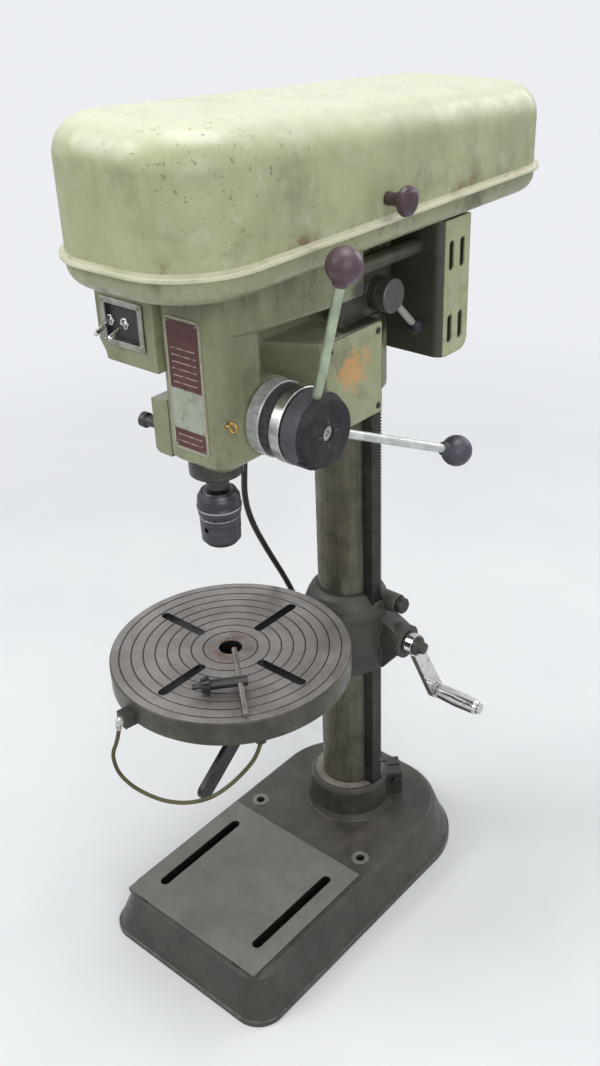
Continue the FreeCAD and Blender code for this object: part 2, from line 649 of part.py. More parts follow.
def make_tether_screw():
    """Round headed screw that holds the cord's eye on the lug."""
    z = TABLE_TOP - TABLE_RIM + 5
    head = cone(5.0, 3.0, table_point(LUG_ANGLE, TABLE_R + 13, z), table_point(LUG_ANGLE, TABLE_R + 16, z))
    end = V(*tether_route()[0])
    ferrule = rod(TETHER_R + 0.8, V(end.x, end.y, z - 2), end + V(0, 0, 0.6))
    return fuse([lug_rod(2.5, 2, 14), lug_rod(5.5, 11, 13), head, ferrule])


# ---- chuck key --------------------------------------------------------------------------
def place_key(shape):
    """Lay the key, built along +X, on the table."""
    shape.rotate(V(0, 0, 0), Z, KEY_ANGLE)
    shape.translate(V(KEY_AT[0], KEY_AT[1], TABLE_TOP + KEY_GEAR_R))
    return shape


def make_chuck_key():
    """Shank, bevelled gear and pilot of the chuck key."""
    shank = rod(5.5, (-8, 0, 0), (KEY_LEN - 12, 0, 0))
    gear = turned_x([(0, KEY_LEN - 14), (KEY_GEAR_R, KEY_LEN - 12), (KEY_GEAR_R - 3, KEY_LEN - 3),
                     (0, KEY_LEN - 3)], 0, 0)
    notches = []
    for n in range(10):
        notch = rod(1.5, (KEY_LEN - 16, 0, KEY_GEAR_R + 0.2), (KEY_LEN, 0, KEY_GEAR_R - 4.4))
        notch.rotate(V(0, 0, 0), X, 36 * n + 18)
        notches.append(notch)
    pilot = rod(3.0, (KEY_LEN - 4, 0, 0), (KEY_LEN + 6, 0, 0))
    body = fuse([shank, gear.cut(notches), pilot]).cut(key_bar())
    return place_key(body)


def key_bar():
    """Cross bar, leaning until one end rests on the table."""
    drop = math.asin((KEY_GEAR_R - KEY_BAR_R) / (KEY_BAR_LEN / 2))
    dy, dz = KEY_BAR_LEN / 2 * math.cos(drop), KEY_BAR_LEN / 2 * math.sin(drop)
    return rod(KEY_BAR_R, (0, -dy, dz), (0, dy, -dz))


def make_chuck_key_bar():
    return place_key(key_bar())


# ---- head casting -----------------------------------------------------------------------
def nose_block(z0, z1):
    """Spindle housing: tight corner at the operator's left, wider one at the right."""
    x0, x1, y0, y1 = -NOSE_LEFT, NOSE_RIGHT, -NOSE_FRONT, -NOSE_REAR
    k = math.sqrt(0.5)
    r, q = NOSE_ROUND, NOSE_LEFT_ROUND
    right = Part.Arc(V(x1 - r, y0, z0), V(x1 - r + r * k, y0 + r - r * k, z0), V(x1, y0 + r, z0))
    left = Part.Arc(V(x0, y0 + q, z0), V(x0 + q - q * k, y0 + q - q * k, z0), V(x0 + q, y0, z0))
    edges = [Part.LineSegment(V(x0 + q, y0, z0), V(x1 - r, y0, z0)), right,
             Part.LineSegment(V(x1, y0 + r, z0), V(x1, y1, z0)), Part.LineSegment(V(x1, y1, z0), V(x0, y1, z0)),
             Part.LineSegment(V(x0, y1, z0), V(x0, y0 + q, z0)), left]
    return prism(Part.Wire([edge.toShape() for edge in edges]), z1 - z0)


def profile(points, y, depth):
    """Outline of x and z pairs, run towards the rear from y."""
    return Part.Face(polygon([V(x, y, z) for x, z in points])).extrude(V(0, depth, 0))


def make_switch_side():
    """Upper left part of the head, with the recess for the switch."""
    inside = -NOSE_LEFT + 12
    side = profile(((-SWITCH_LEFT, HEAD_TOP), (-SWITCH_LEFT, SWITCH_LOW + 19), (-SWITCH_LEFT + 7, SWITCH_LOW + 8),
                    (-SWITCH_LEFT + 9, SWITCH_LOW), (inside, SWITCH_LOW), (inside, HEAD_TOP)),
                   -SWITCH_FRONT, SWITCH_FRONT - UPPER_REAR)
    side = side.makeFillet(3.0, [e for e in side.Edges if e.BoundBox.YLength > 100 and e.BoundBox.XMax < -NOSE_LEFT
                                 and e.BoundBox.ZMax < HEAD_TOP - 1])
    step = box(-NOSE_LEFT + 5, 0, -SWITCH_FRONT - 1, -NOSE_FRONT + 22, SWITCH_LOW - 1, HEAD_TOP + 1)
    recess = box(-BEZEL_LEFT + 3, -BEZEL_RIGHT - 3, -SWITCH_FRONT - 1, -SWITCH_FRONT + 32, BEZEL_LOW + 3, BEZEL_HIGH - 3)
    return side.cut([step, recess])


def make_right_side():
    """Upper right part of the head, its wall flaring towards the rear."""
    plan = [(-NOSE_LEFT, -UPPER_REAR), (-NOSE_LEFT, -NOSE_FRONT + 34), (NOSE_RIGHT - 8, -NOSE_FRONT + NOSE_ROUND),
            (NOSE_RIGHT, -NOSE_FRONT + NOSE_ROUND + 3), *FLARE, (UPPER_RIGHT, -UPPER_REAR)]
    side = prism(polygon([V(x, y, RIGHT_LOW) for x, y in plan]), HEAD_TOP - RIGHT_LOW)
    return side.makeFillet(6.0, [e for e in side.Edges if e.BoundBox.XMin > NOSE_RIGHT - 0.1
                                 and e.BoundBox.ZMax < RIGHT_LOW + 0.1])


def make_head():
    """Head casting: spindle housing, gearbox, column sleeve and the wide upper body."""
    nose = nose_block(NOSE_LOW, HEAD_TOP)
    nose = nose.makeChamfer(5.0, [e for e in nose.Edges if abs(e.BoundBox.ZMax - NOSE_LOW) < 0.01
                                  and e.BoundBox.YMax < -NOSE_REAR - 1])
    web = box(-WEB_LEFT, WEB_RIGHT, -NOSE_REAR - 4, -20, HEAD_LOW, HEAD_TOP)
    plan = [(0, -GEARBOX_REAR), (GEARBOX_RIGHT, -GEARBOX_REAR), (GEARBOX_RIGHT, -GEARBOX_FRONT),
            (WEB_RIGHT - 2, -GEARBOX_FRONT - 30), (0, -GEARBOX_FRONT - 30)]
    gearbox = prism(polygon([V(x, y, GEARBOX_LOW) for x, y in plan]), HEAD_MID - GEARBOX_LOW)
    gearbox = gearbox.makeFillet(4.0, [e for e in gearbox.Edges if e.BoundBox.XMax > GEARBOX_RIGHT - 0.1])
    sleeve = Part.makeCylinder(SLEEVE_R, HEAD_MID - HEAD_LOW, V(0, 0, HEAD_LOW))
    cap = prism(rounded_wire(-46, 46, -60, SLEEVE_R - 2, 4, 30, HEAD_MID - 1), HEAD_TOP - HEAD_MID + 1)
    dial_boss = rod(DIAL_R + 1.5, (10, FEED_Y, FEED_Z), (DIAL_IN - 1, FEED_Y, FEED_Z))
    dial_neck = box(0, NOSE_RIGHT, SPINDLE_Y, FEED_Y + 24, HEAD_LOW, FEED_Z + 30)
    spring_boss = rod(30, (-48, FEED_Y, FEED_Z + 8), (0, FEED_Y, FEED_Z + 8))
    side = -NOSE_LEFT + 3
    lock_boss = profile(((side, QUILL_LOCK_Z + 35), (-QUILL_LOCK_LEFT, QUILL_LOCK_Z + 32),
                         (-QUILL_LOCK_LEFT, QUILL_LOCK_Z - 22), (-QUILL_LOCK_LEFT + 5, NOSE_LOW), (side, NOSE_LOW)),
                        -NOSE_FRONT + 3, 32)
    tension_boss = rod(TENSION_R, (20, TENSION_Y, TENSION_Z), (TENSION_FACE, TENSION_Y, TENSION_Z))
    screw_bosses = [rod(9.0, (-SLEEVE_R - 6, 0, clamp_z(side)), (-SLEEVE_R + 8, 0, clamp_z(side))) for side in (-1, 1)]
    body = fuse([nose, make_switch_side(), make_right_side(), web, gearbox, sleeve, cap, dial_boss, dial_neck,
                 spring_boss, lock_boss, tension_boss] + screw_bosses)
    seat = 2 * BEARING_H + 5
    tools = [Part.makeCylinder(QUILL_R + RUN, QUILL_HIGH + 14 - NOSE_LOW, V(0, SPINDLE_Y, NOSE_LOW - 10)),
             Part.makeCylinder(SLEEVE_DRIVE_R + 3, 80, V(0, SPINDLE_Y, QUILL_HIGH)),
             Part.makeCylinder(BEARING_R, seat, V(0, SPINDLE_Y, HEAD_TOP + 1 - seat)),
             rod(FEED_R + FEED_MODULE + 0.8, (-16, FEED_Y, FEED_Z), (16, FEED_Y, FEED_Z)),
             rod(FEED_SHAFT_R + RUN, (-80, FEED_Y, FEED_Z), (80, FEED_Y, FEED_Z)),
             Part.makeCylinder(COLUMN_R, COLUMN_HEAD_Z - GEARBOX_LOW + 5, V(0, 0, GEARBOX_LOW - 5)),
             box(RACK_X0 - 2, RACK_X1 + GAP, -RACK_FRONT - GAP, RACK_TIP + GAP, GEARBOX_LOW - 5, RACK_HIGH + 2),
             rod(TENSION_SHAFT_R + RUN, (10, TENSION_Y, TENSION_Z), (80, TENSION_Y, TENSION_Z)),
             rod(5 + RUN, (-90, QUILL_LOCK_Y, QUILL_LOCK_Z), (-QUILL_R + 1, QUILL_LOCK_Y, QUILL_LOCK_Z)),
             dial_screw(2.0),
             rod(RETURN_CAP_R - 3, (-49, FEED_Y, FEED_Z), (-36, FEED_Y, FEED_Z)),
             rod(DIAL_R + 1.2, (DIAL_IN - 0.6, FEED_Y, FEED_Z), (GEARBOX_RIGHT - 2, FEED_Y, FEED_Z))]
    for side in (-1, 1):
        x, z = side * ROD_X, clamp_z(side)
        tools.append(rod(ROD_R + RUN, (x, -ROD_FRONT - SLIDE_TRAVEL - 4, ROD_Z), (x, 60, ROD_Z)))
        tools.append(rod(5.0, (-SLEEVE_R - 10, 0, z), (-COLUMN_R + 3, 0, z)))
    return body.cut(tools)


def clamp_z(side):
    return (HEAD_LOW + HEAD_MID) / 2 + side * 24


def make_head_clamp_screws():
    """Two square headed set screws that hold the head on the column."""
    screws = []
    for side in (-1, 1):
        z, x = clamp_z(side), -SLEEVE_R - 6
        head = box(x - 9, x - 1, -5, 5, z - 5, z + 5)
        screws.append(fuse([rod(5.0, (x - 2, 0, z), (-COLUMN_R - 0.2, 0, z)), head]))
    return Part.makeCompound(screws)


def make_side_cover():
    """Cover plate of the gearbox, with its corner screw holes."""
    x = GEARBOX_RIGHT
    plate = box(x, x + 3, -GEARBOX_FRONT + 4, -GEARBOX_REAR - 2, GEARBOX_LOW + 3, HEAD_MID - 2)
    plate = plate.makeFillet(2.5, [e for e in plate.Edges if abs(e.BoundBox.XLength - 3) < 0.01])
    return plate.makeChamfer(0.8, [e for e in plate.Edges if e.BoundBox.XMin > x + 2.9])


# ---- quill and spindle ------------------------------------------------------------------
def make_quill():
    """Quill with its feed rack cut in the rear, bored for the spindle bearings."""
    body = Part.makeCylinder(QUILL_R, QUILL_HIGH - QUILL_LOW, V(0, SPINDLE_Y, QUILL_LOW))
    pitch = math.pi * FEED_MODULE
    flat_y = SPINDLE_Y + QUILL_FLAT
    low = FEED_Z - 12
    count = int((QUILL_STROKE + 30) / pitch)
    tools = [box(-QUILL_R, QUILL_R, flat_y, flat_y + 10, low - pitch, FEED_Z + (count - 3) * pitch),
             Part.makeCylinder(SPINDLE_BIG_R + 2, 300, V(0, SPINDLE_Y, QUILL_LOW - 20)),
             Part.makeCylinder(17.5, BEARING_H + 4, V(0, SPINDLE_Y, QUILL_LOW - 4)),
             Part.makeCylinder(17.5, BEARING_H + 4, V(0, SPINDLE_Y, QUILL_HIGH - BEARING_H))]
    for n in range(-2, count - 2):
        tools.append(rack_gap(FEED_MODULE, -QUILL_R, QUILL_R, flat_y, 1, FEED_Z + (n + 0.5) * pitch))
    return body.cut(tools)


def make_quill_collar():
    """Nose ring clamped on the lower end of the quill."""
    r = QUILL_R + COLLAR_W
    return turned([(QUILL_R, QUILL_LOW - 1), (r - 1, QUILL_LOW - 1), (r, QUILL_LOW), (r, NOSE_LOW - 3.5),
                   (r - 1, NOSE_LOW - 2.5), (QUILL_R, NOSE_LOW - 2.5)], V(0, SPINDLE_Y, 0))


def bearing(z, outer, inner, centre_y):
    """Ball bearing as an outer ring, an inner ring and the shielded middle in one ring."""
    ring = Part.makeCylinder(outer, BEARING_H, V(0, centre_y, z))
    return ring.cut(Part.makeCylinder(inner, BEARING_H, V(0, centre_y, z)))


def make_quill_bearings():
    return Part.makeCompound([bearing(QUILL_LOW, 17.5, SPINDLE_BIG_R + RUN, SPINDLE_Y),
                              bearing(QUILL_HIGH - BEARING_H, 17.5, SPINDLE_BIG_R + RUN, SPINDLE_Y)])


def make_spindle():
    """Spindle with its chuck taper below and the driven end above."""
    axis = V(0, SPINDLE_Y, 0)
    return turned([(0, CHUCK_TOP - 22), (6.2, CHUCK_TOP - 22), (7.0, CHUCK_TOP), (12, CHUCK_TOP + 1.5),
                   (12, QUILL_LOW - 1), (SPINDLE_BIG_R, QUILL_LOW - 1), (SPINDLE_BIG_R, QUILL_HIGH + 1),
                   (SPINDLE_R, QUILL_HIGH + 2), (SPINDLE_R, SPINDLE_TOP - 1), (SPINDLE_R - 1, SPINDLE_TOP),
                   (0, SPINDLE_TOP)], axis)


def jaw_axis(n):
    """Start, at the nose, and direction of a jaw's bore."""
    a = math.radians(90 + 120 * n)
    t = math.radians(JAW_TILT)
    direction = V(math.sin(t) * math.cos(a), math.sin(t) * math.sin(a), math.cos(t))
    start = V(JAW_R * 0.55 * math.cos(a), SPINDLE_Y + JAW_R * 0.55 * math.sin(a), CHUCK_NOSE + 0.5)
    return start, direction, a


def make_chuck_body():
    """Chuck body with its taper bore, three jaw bores and key holes."""
    axis = V(0, SPINDLE_Y, 0)
    body = turned([(0, CHUCK_NOSE), (CHUCK_R - 5, CHUCK_NOSE), (CHUCK_R - 1.5, CHUCK_NOSE + 4.5),
                   (CHUCK_R - 0.5, CHUCK_SPLIT - 0.6), (CHUCK_R - 4.5, CHUCK_SPLIT - 0.6),
                   (CHUCK_R - 4.5, CHUCK_TOP - 3), (CHUCK_R - 6, CHUCK_TOP - 1), (0, CHUCK_TOP - 1)], axis)
    tools = [cone(6.2, 7.0, (0, SPINDLE_Y, CHUCK_TOP - 22), (0, SPINDLE_Y, CHUCK_TOP)),
             Part.makeCylinder(7.5, 30, V(0, SPINDLE_Y, CHUCK_NOSE - 1))]
    for n in range(3):
        start, direction, a = jaw_axis(n)
        tools.append(Part.makeCylinder(JAW_R + RUN, 60, start - direction * 6, direction))
        b = a + math.pi / 3
        at = V(30 * math.cos(b), SPINDLE_Y + 30 * math.sin(b), CHUCK_SPLIT - 12)
        tools.append(Part.makeCylinder(3.1, 17, at, V(-math.cos(b), -math.sin(b), 0)))
    return body.cut(tools)


def make_chuck_sleeve():
    """Outer sleeve, widest at its rolled ring, with the bevel teeth that the key turns."""
    axis = V(0, SPINDLE_Y, 0)
    inner = CHUCK_R - 4.5 + RUN
    ring = turned([(inner, CHUCK_SPLIT), (CHUCK_R - 0.4, CHUCK_SPLIT), (CHUCK_R + 0.4, CHUCK_SPLIT + 3),
                   (CHUCK_R + 1.4, CHUCK_TOP - 18), (CHUCK_R + 0.8, CHUCK_TOP - 16), (CHUCK_R, CHUCK_TOP - 8),
                   (CHUCK_R - 3.5, CHUCK_TOP - 2), (inner, CHUCK_TOP - 2)], axis)
    notches = []
    for n in range(24):
        a = 2 * math.pi * n / 24
        at = V((CHUCK_R - 5) * math.cos(a), SPINDLE_Y + (CHUCK_R - 5) * math.sin(a), CHUCK_SPLIT)
        notches.append(Part.makeCylinder(1.2, 8, at, V(math.cos(a), math.sin(a), 0.12)))
    return ring.cut(notches)


def make_jaw(n):
    """Round jaw with a flat gripping face on the chuck's axis side."""
    start, direction, a = jaw_axis(n)
    pin = Part.makeCylinder(JAW_R, 30, start, direction)
    inward = V(-math.cos(a), -math.sin(a), 0)
    trim = Part.makeBox(60, 60, 20, V(-30, SPINDLE_Y - 30, CHUCK_NOSE - 19.5))
    tools = [trim]
    for turn, side in ((math.pi / 3, 0), (-math.pi / 3, -40)):
        plane = box(-5, 40, side, side + 40, -5, 60)
        plane.rotate(V(0, 0, 0), Z, math.degrees(a + turn))
        plane.translate(V(0, SPINDLE_Y, CHUCK_NOSE) - inward * 0.5)
        tools.append(plane)
    return pin.cut(tools)


# ---- feed -------------------------------------------------------------------------------
def make_feed_shaft():
    """Feed pinion and shaft in one piece, from the return spring to the hub."""
    teeth = pinion_x(FEED_MODULE, FEED_TEETH, 180.0, 0.3, -13, 13, FEED_Y, FEED_Z)
    shaft = rod(FEED_SHAFT_R, (-58, FEED_Y, FEED_Z), (HUB_OUT - 5, FEED_Y, FEED_Z))
    screw = rod(7.9, (HUB_OUT - 8, FEED_Y, FEED_Z), (HUB_OUT - 2, FEED_Y, FEED_Z))
    socket = rod(3.0, (HUB_OUT - 5, FEED_Y, FEED_Z), (HUB_OUT, FEED_Y, FEED_Z))
    return fuse([teeth, shaft, screw]).cut(socket)


def ring_x(outer, x0, x1, chamfer=0.8):
    return turned_x([(FEED_SHAFT_R, x0), (outer - chamfer, x0), (outer, x0 + chamfer), (outer, x1 - chamfer),
                     (outer - chamfer, x1), (FEED_SHAFT_R, x1)], FEED_Y, FEED_Z)


def make_depth_dial():
    """Graduated dial with the narrower knurled band behind it."""
    x = DIAL_IN + DIAL_W
    return ring_x(DIAL_R, DIAL_IN, x).fuse(ring_x(DIAL_R - 1.5, x, x + BAND_W, 0.6))


def make_dial_lock_ring():
    x = DIAL_IN + DIAL_W + BAND_W
    return ring_x(DIAL_R + 0.5, x, x + LOCK_RING_W)


def spoke_ends(angle, length=SPOKE_LEN, start=0.0):
    a, t = math.radians(angle), math.radians(SPOKE_TILT)
    along = V(math.sin(t), math.cos(t) * math.cos(a), math.cos(t) * math.sin(a))
    centre = V(SPOKE_X, FEED_Y, FEED_Z)
    return centre + along * start, centre + along * length


def make_feed_hub():
    """Black hub: plain barrel, turned face with a recessed screw, tapped holes for the handles."""
    x = DIAL_IN + DIAL_W + BAND_W + LOCK_RING_W
    body = turned_x([(FEED_SHAFT_R, x), (HUB_R - 4, x), (HUB_R - 4, x + 2), (HUB_R, x + 3), (HUB_R, HUB_OUT - 10),
                     (HUB_R - 5, HUB_OUT - 0.6), (HUB_R - 12, HUB_OUT), (8, HUB_OUT), (8, HUB_OUT - 5),
                     (FEED_SHAFT_R, HUB_OUT - 5)], FEED_Y, FEED_Z)
    tools = []
    for angle in SPOKE_ANGLES + (SPOKE_FREE_HOLE,):
        a, b = spoke_ends(angle, HUB_R + 8, HUB_R - 16)
        tools.append(rod(SPOKE_R, a, b))
    return body.cut(tools)


def make_spokes():
    rods = []
    for angle in SPOKE_ANGLES:
        a, b = spoke_ends(angle, SPOKE_LEN - BALL_R * 0.4, HUB_R - 16)
        rods.append(rod(SPOKE_R, a, b))
    return Part.makeCompound(rods)


def make_balls():
    balls = []
    for angle in SPOKE_ANGLES:
        a, b = spoke_ends(angle, SPOKE_LEN, HUB_R - 16)
        ball = Part.makeSphere(BALL_R, V(*b))
        c, _ = spoke_ends(angle, SPOKE_LEN, SPOKE_LEN - BALL_R - 2.5)
        neck = rod(SPOKE_R + 2.5, c, b)
        _, tip = spoke_ends(angle, SPOKE_LEN - BALL_R * 0.4, 0)
        balls.append(ball.fuse(neck).cut(rod(SPOKE_R, a, tip)))
    return Part.makeCompound(balls)


def make_return_cap():
    """Round housing of the clock spring at the left end of the feed shaft."""
    x0, x1 = -62, -48
    return turned_x([(0, x0), (RETURN_CAP_R - 3, x0), (RETURN_CAP_R, x0 + 3), (RETURN_CAP_R, x1),
                     (RETURN_CAP_R - 3, x1), (RETURN_CAP_R - 3, x0 + 3), (0, x0 + 3)], FEED_Y, FEED_Z)


def make_return_spring():
    """Clock spring as a wound strip of four turns."""
    inner, pitch, turns, thick = FEED_SHAFT_R + 1.2, 3.0, 4, 0.8
    steps = 12
    outer_side, inner_side = [], []
    for n in range(turns * steps + 1):
        a = 2 * math.pi * n / steps
        r = inner + pitch * n / steps
        outer_side.append(V(-56, FEED_Y + (r + thick) * math.cos(a), FEED_Z + (r + thick) * math.sin(a)))
        inner_side.append(V(-56, FEED_Y + r * math.cos(a), FEED_Z + r * math.sin(a)))
    return Part.Face(polygon(outer_side + inner_side[::-1])).extrude(V(7, 0, 0))


def make_quill_lock():
    """Quill lock screw with a small round knob."""
    y, z = QUILL_LOCK_Y, QUILL_LOCK_Z
    x = -QUILL_LOCK_LEFT
    screw = rod(5, (x - 1, y, z), (-QUILL_R - 1, y, z))
    knob = turned_x([(0, x - 26), (6, x - 26), (8, x - 24), (8, x - 18), (5.5, x - 16), (5, x - 1), (0, x - 1)], y, z)
    return screw.fuse(knob)


def dial_screw(radius):
    """Stem of the ring headed screw in front of the dial."""
    y, z = -NOSE_FRONT + 10.5, FEED_Z + 10
    return rod(radius, (NOSE_RIGHT - 10, y, z), (NOSE_RIGHT + 2.5, y, z))


def make_dial_pointer():
    """Ring headed screw beside the depth dial."""
    eye = Part.makeTorus(4.6, 1.6, V(NOSE_RIGHT + 6.5, -NOSE_FRONT + 10.5, FEED_Z + 10), Y)
    return dial_screw(2.0).fuse(eye)


# ---- belt drive -------------------------------------------------------------------------
def step_pulley(steps, y, bore):
    """Four step V pulley, a groove round each step."""
    profile = [(bore, PULLEY_LOW)]
    for n, r in enumerate(steps):
        z0 = PULLEY_LOW + n * PULLEY_STEP
        z1, mid = z0 + PULLEY_STEP, z0 + PULLEY_STEP / 2
        half = BELT_W / 2 + 0.5
        deep = r - BELT_T - 0.5
        profile += [(r, z0 + 0.01), (r, mid - half), (deep, mid - half + 1.2), (deep, mid + half - 1.2),
                    (r, mid + half), (r, z1)]
    profile.append((bore, PULLEY_HIGH))
    return turned(profile, V(0, y, 0))


def belt_loop(offset, z):
    """Plan wire of the belt round both pulleys at a distance inside the step radius."""
    r1 = SPINDLE_STEPS[BELT_STEP] - offset
    r2 = MOTOR_STEPS[BELT_STEP] - offset
    span = MOTOR_Y - SPINDLE_Y
    lean = math.asin((r1 - r2) / span)
    c, s = math.cos(lean), math.sin(lean)
    a1, b1 = V(r1 * c, SPINDLE_Y + r1 * s, z), V(-r1 * c, SPINDLE_Y + r1 * s, z)
    a2, b2 = V(r2 * c, MOTOR_Y + r2 * s, z), V(-r2 * c, MOTOR_Y + r2 * s, z)
    return Part.Wire([Part.LineSegment(a1, a2).toShape(), Part.Arc(a2, V(0, MOTOR_Y + r2, z), b2).toShape(),
                      Part.LineSegment(b2, b1).toShape(), Part.Arc(b1, V(0, SPINDLE_Y - r1, z), a1).toShape()])


def make_belt():
    mid = PULLEY_LOW + (BELT_STEP + 0.5) * PULLEY_STEP
    z0 = mid - BELT_W / 2 + 1.5
    outer = Part.Face(belt_loop(0.0, z0)).extrude(V(0, 0, BELT_W - 3))
    return outer.cut(Part.Face(belt_loop(BELT_T, z0 - 1)).extrude(V(0, 0, BELT_W)))


def make_drive_sleeve():
    """Sleeve that carries the spindle pulley and lets the spindle slide through it."""
    z0, z1 = HEAD_TOP - 2 * BEARING_H - 4, PULLEY_HIGH + 6
    bore, outer = SPINDLE_R + RUN, SLEEVE_DRIVE_R
    return turned([(bore, z0), (outer, z0), (outer, HEAD_TOP + 1), (outer + 4, HEAD_TOP + 1),
                   (outer + 4, PULLEY_LOW), (outer, PULLEY_LOW), (outer, z1), (bore, z1)], V(0, SPINDLE_Y, 0))


def make_drive_bearings():
    return Part.makeCompound([bearing(HEAD_TOP - 2 * BEARING_H - 4, BEARING_R, SLEEVE_DRIVE_R + RUN, SPINDLE_Y),
                              bearing(HEAD_TOP - BEARING_H, BEARING_R, SLEEVE_DRIVE_R + RUN, SPINDLE_Y)])


# ---- tray and cover ---------------------------------------------------------------------
def cover_wire(inset, z):
    return rounded_wire(-COVER_HALF + inset, COVER_HALF - inset, -COVER_FRONT + inset, COVER_REAR - inset,
                        COVER_FRONT_ROUND - inset * 0.8, COVER_REAR_ROUND - inset * 0.8, z)


def tray_bowl(inset, z0, edge_round):
    """Solid with the tray's plan up to its rim and a round lower edge."""
    block = prism(cover_wire(inset, z0), RIM_Z - z0)
    return block.makeFillet(edge_round, [e for e in block.Edges if e.BoundBox.ZMax < z0 + 0.01])


def hinge_ys(offset):
    return [y + offset for y in (-170.0, 90.0)]


def hinge_rod(radius, y0, y1):
    """Round bar on the cover's hinge line."""
    x, z = -COVER_HALF - 9, RIM_Z - 1
    return rod(radius, (x, y0, z), (x, y1, z))


def hinge_leaf(y, z0, z1):
    return box(-COVER_HALF - 9, -COVER_HALF + 2, y, y + 16, z0, z1)


def make_tray():
    """Cast belt tray: plain wall that rounds into a flat floor."""
    floor = HEAD_TOP
    shell = tray_bowl(TRAY_INSET, floor, TRAY_ROUND)
    ys = hinge_ys(16.5)
    knuckles = [hinge_rod(HINGE_R, y, y + 16) for y in ys]
    leaves = [hinge_leaf(y, RIM_Z - 6, RIM_Z - 0.6) for y in ys]
    inner = tray_bowl(TRAY_INSET + TRAY_WALL, floor + TRAY_WALL, TRAY_ROUND - TRAY_WALL)
    tools = [inner, Part.makeCylinder(BEARING_R + 1, 20, V(0, SPINDLE_Y, floor - 5)),
             slot_along(90, MOTOR_Y - SLIDE_TRAVEL - 4, MOTOR_Y + 4, 40.0, floor - 5, floor + 15, V(0, 0, 0)),
             hinge_rod(2.5 + RUN, -400, 400)]
    return fuse([shell] + knuckles + leaves).cut(tools)


def make_cover():
    """Deep drawn belt cover with a falling top, a turned out rim and its hinge knuckles."""
    z0 = RIM_Z + 0.3
    block = prism(cover_wire(2.0, z0), COVER_TOP_FRONT + 40 - z0)
    slope = (COVER_TOP_FRONT - COVER_TOP_REAR) / (COVER_FRONT + COVER_REAR)
    far = 400.0
    above = [V(-far, y, COVER_TOP_FRONT - slope * (y + COVER_FRONT)) for y in (-far, far)]
    above += [V(-far, y, COVER_TOP_FRONT + 200) for y in (far, -far)]
    block = block.cut(Part.Face(polygon(above)).extrude(V(2 * far, 0, 0)))
    outer = block.makeFillet(COVER_EDGE_ROUND, [e for e in block.Edges if e.BoundBox.ZMin > COVER_TOP_REAR - 20])
    inner = outer.makeOffsetShape(-COVER_WALL, 1e-3)
    inner = inner if inner.ShapeType == "Solid" else Part.makeSolid(inner)
    inner = inner.fuse(prism(cover_wire(2.0 + COVER_WALL, z0 - 8), 12))
    flange = prism(cover_wire(-RIM_LIP, z0), RIM_T)
    ys = hinge_ys(0.0)
    leaves = [hinge_leaf(y, z0, RIM_Z + 3.8) for y in ys]
    knuckles = [hinge_rod(HINGE_R, y, y + 16) for y in ys]
    body = fuse([outer, flange] + leaves).cut(inner)
    body = fuse([body] + knuckles)
    knob_hole = rod(3.0, (COVER_HALF - 8, KNOB_Y, KNOB_Z), (COVER_HALF + 4, KNOB_Y, KNOB_Z))
    return body.cut([hinge_rod(2.5 + RUN, -400, 400), knob_hole])


def make_hinge_pins():
    return Part.makeCompound([hinge_rod(2.5, y - 1, y + 33.5) for y in hinge_ys(0.0)])


def make_cover_knob():
    """Mushroom knob that lifts the cover."""
    x = COVER_HALF - 2
    return turned_x([(0, x - 6), (3, x - 6), (3, x), (6.5, x), (6.5, x + 3), (6, x + 8), (7.5, x + 15), (13, x + 19),
                     (14.5, x + 22), (13.5, x + 26), (9, x + 28), (0, x + 28.5)], KNOB_Y, KNOB_Z)


# ---- motor ------------------------------------------------------------------------------
def make_motor_body():
    """Totally enclosed motor: ribbed barrel, end shields and its flat foot."""
    at = V(0, MOTOR_Y, 0)
    shell = turned([(0, MOTOR_LOW), (MOTOR_R - 14, MOTOR_LOW), (MOTOR_R - 5, MOTOR_LOW + 10), (MOTOR_R - 4, MOTOR_LOW + 24),
                    (MOTOR_R - 4, MOTOR_HIGH - 22), (MOTOR_R - 6, MOTOR_HIGH - 12), (MOTOR_R - 16, MOTOR_HIGH - 4),
                    (24, MOTOR_HIGH - 2), (20, MOTOR_HIGH), (0, MOTOR_HIGH)], at)
    fins = []
    for n in range(24):
        fin = box(MOTOR_R - 8, MOTOR_R, -1.5, 1.5, MOTOR_LOW + 26, MOTOR_HIGH - 26)
        fin.rotate(V(0, 0, 0), Z, 15 * n + 7.5)
        fin.translate(at)
        fins.append(fin)
    foot = box(-40, 40, WEB_Y + PLATE_T, MOTOR_Y - MOTOR_R + 14, MOTOR_LOW + 22, MOTOR_HIGH - 24)
    bore = Part.makeCylinder(MOTOR_SHAFT_R + RUN, 300, V(0, MOTOR_Y, MOTOR_LOW + 12))
    return fuse([shell, foot] + fins).cut(bore)


def make_motor_shaft():
    return Part.makeCylinder(MOTOR_SHAFT_R, PULLEY_HIGH + 4 - MOTOR_LOW - 14, V(0, MOTOR_Y, MOTOR_LOW + 14))


def upright_edges(shape, y_limit):
    """Long vertical edges in front of a plane, for rounding."""
    return [e for e in shape.Edges if e.BoundBox.YMax < y_limit and e.BoundBox.ZLength > 50]


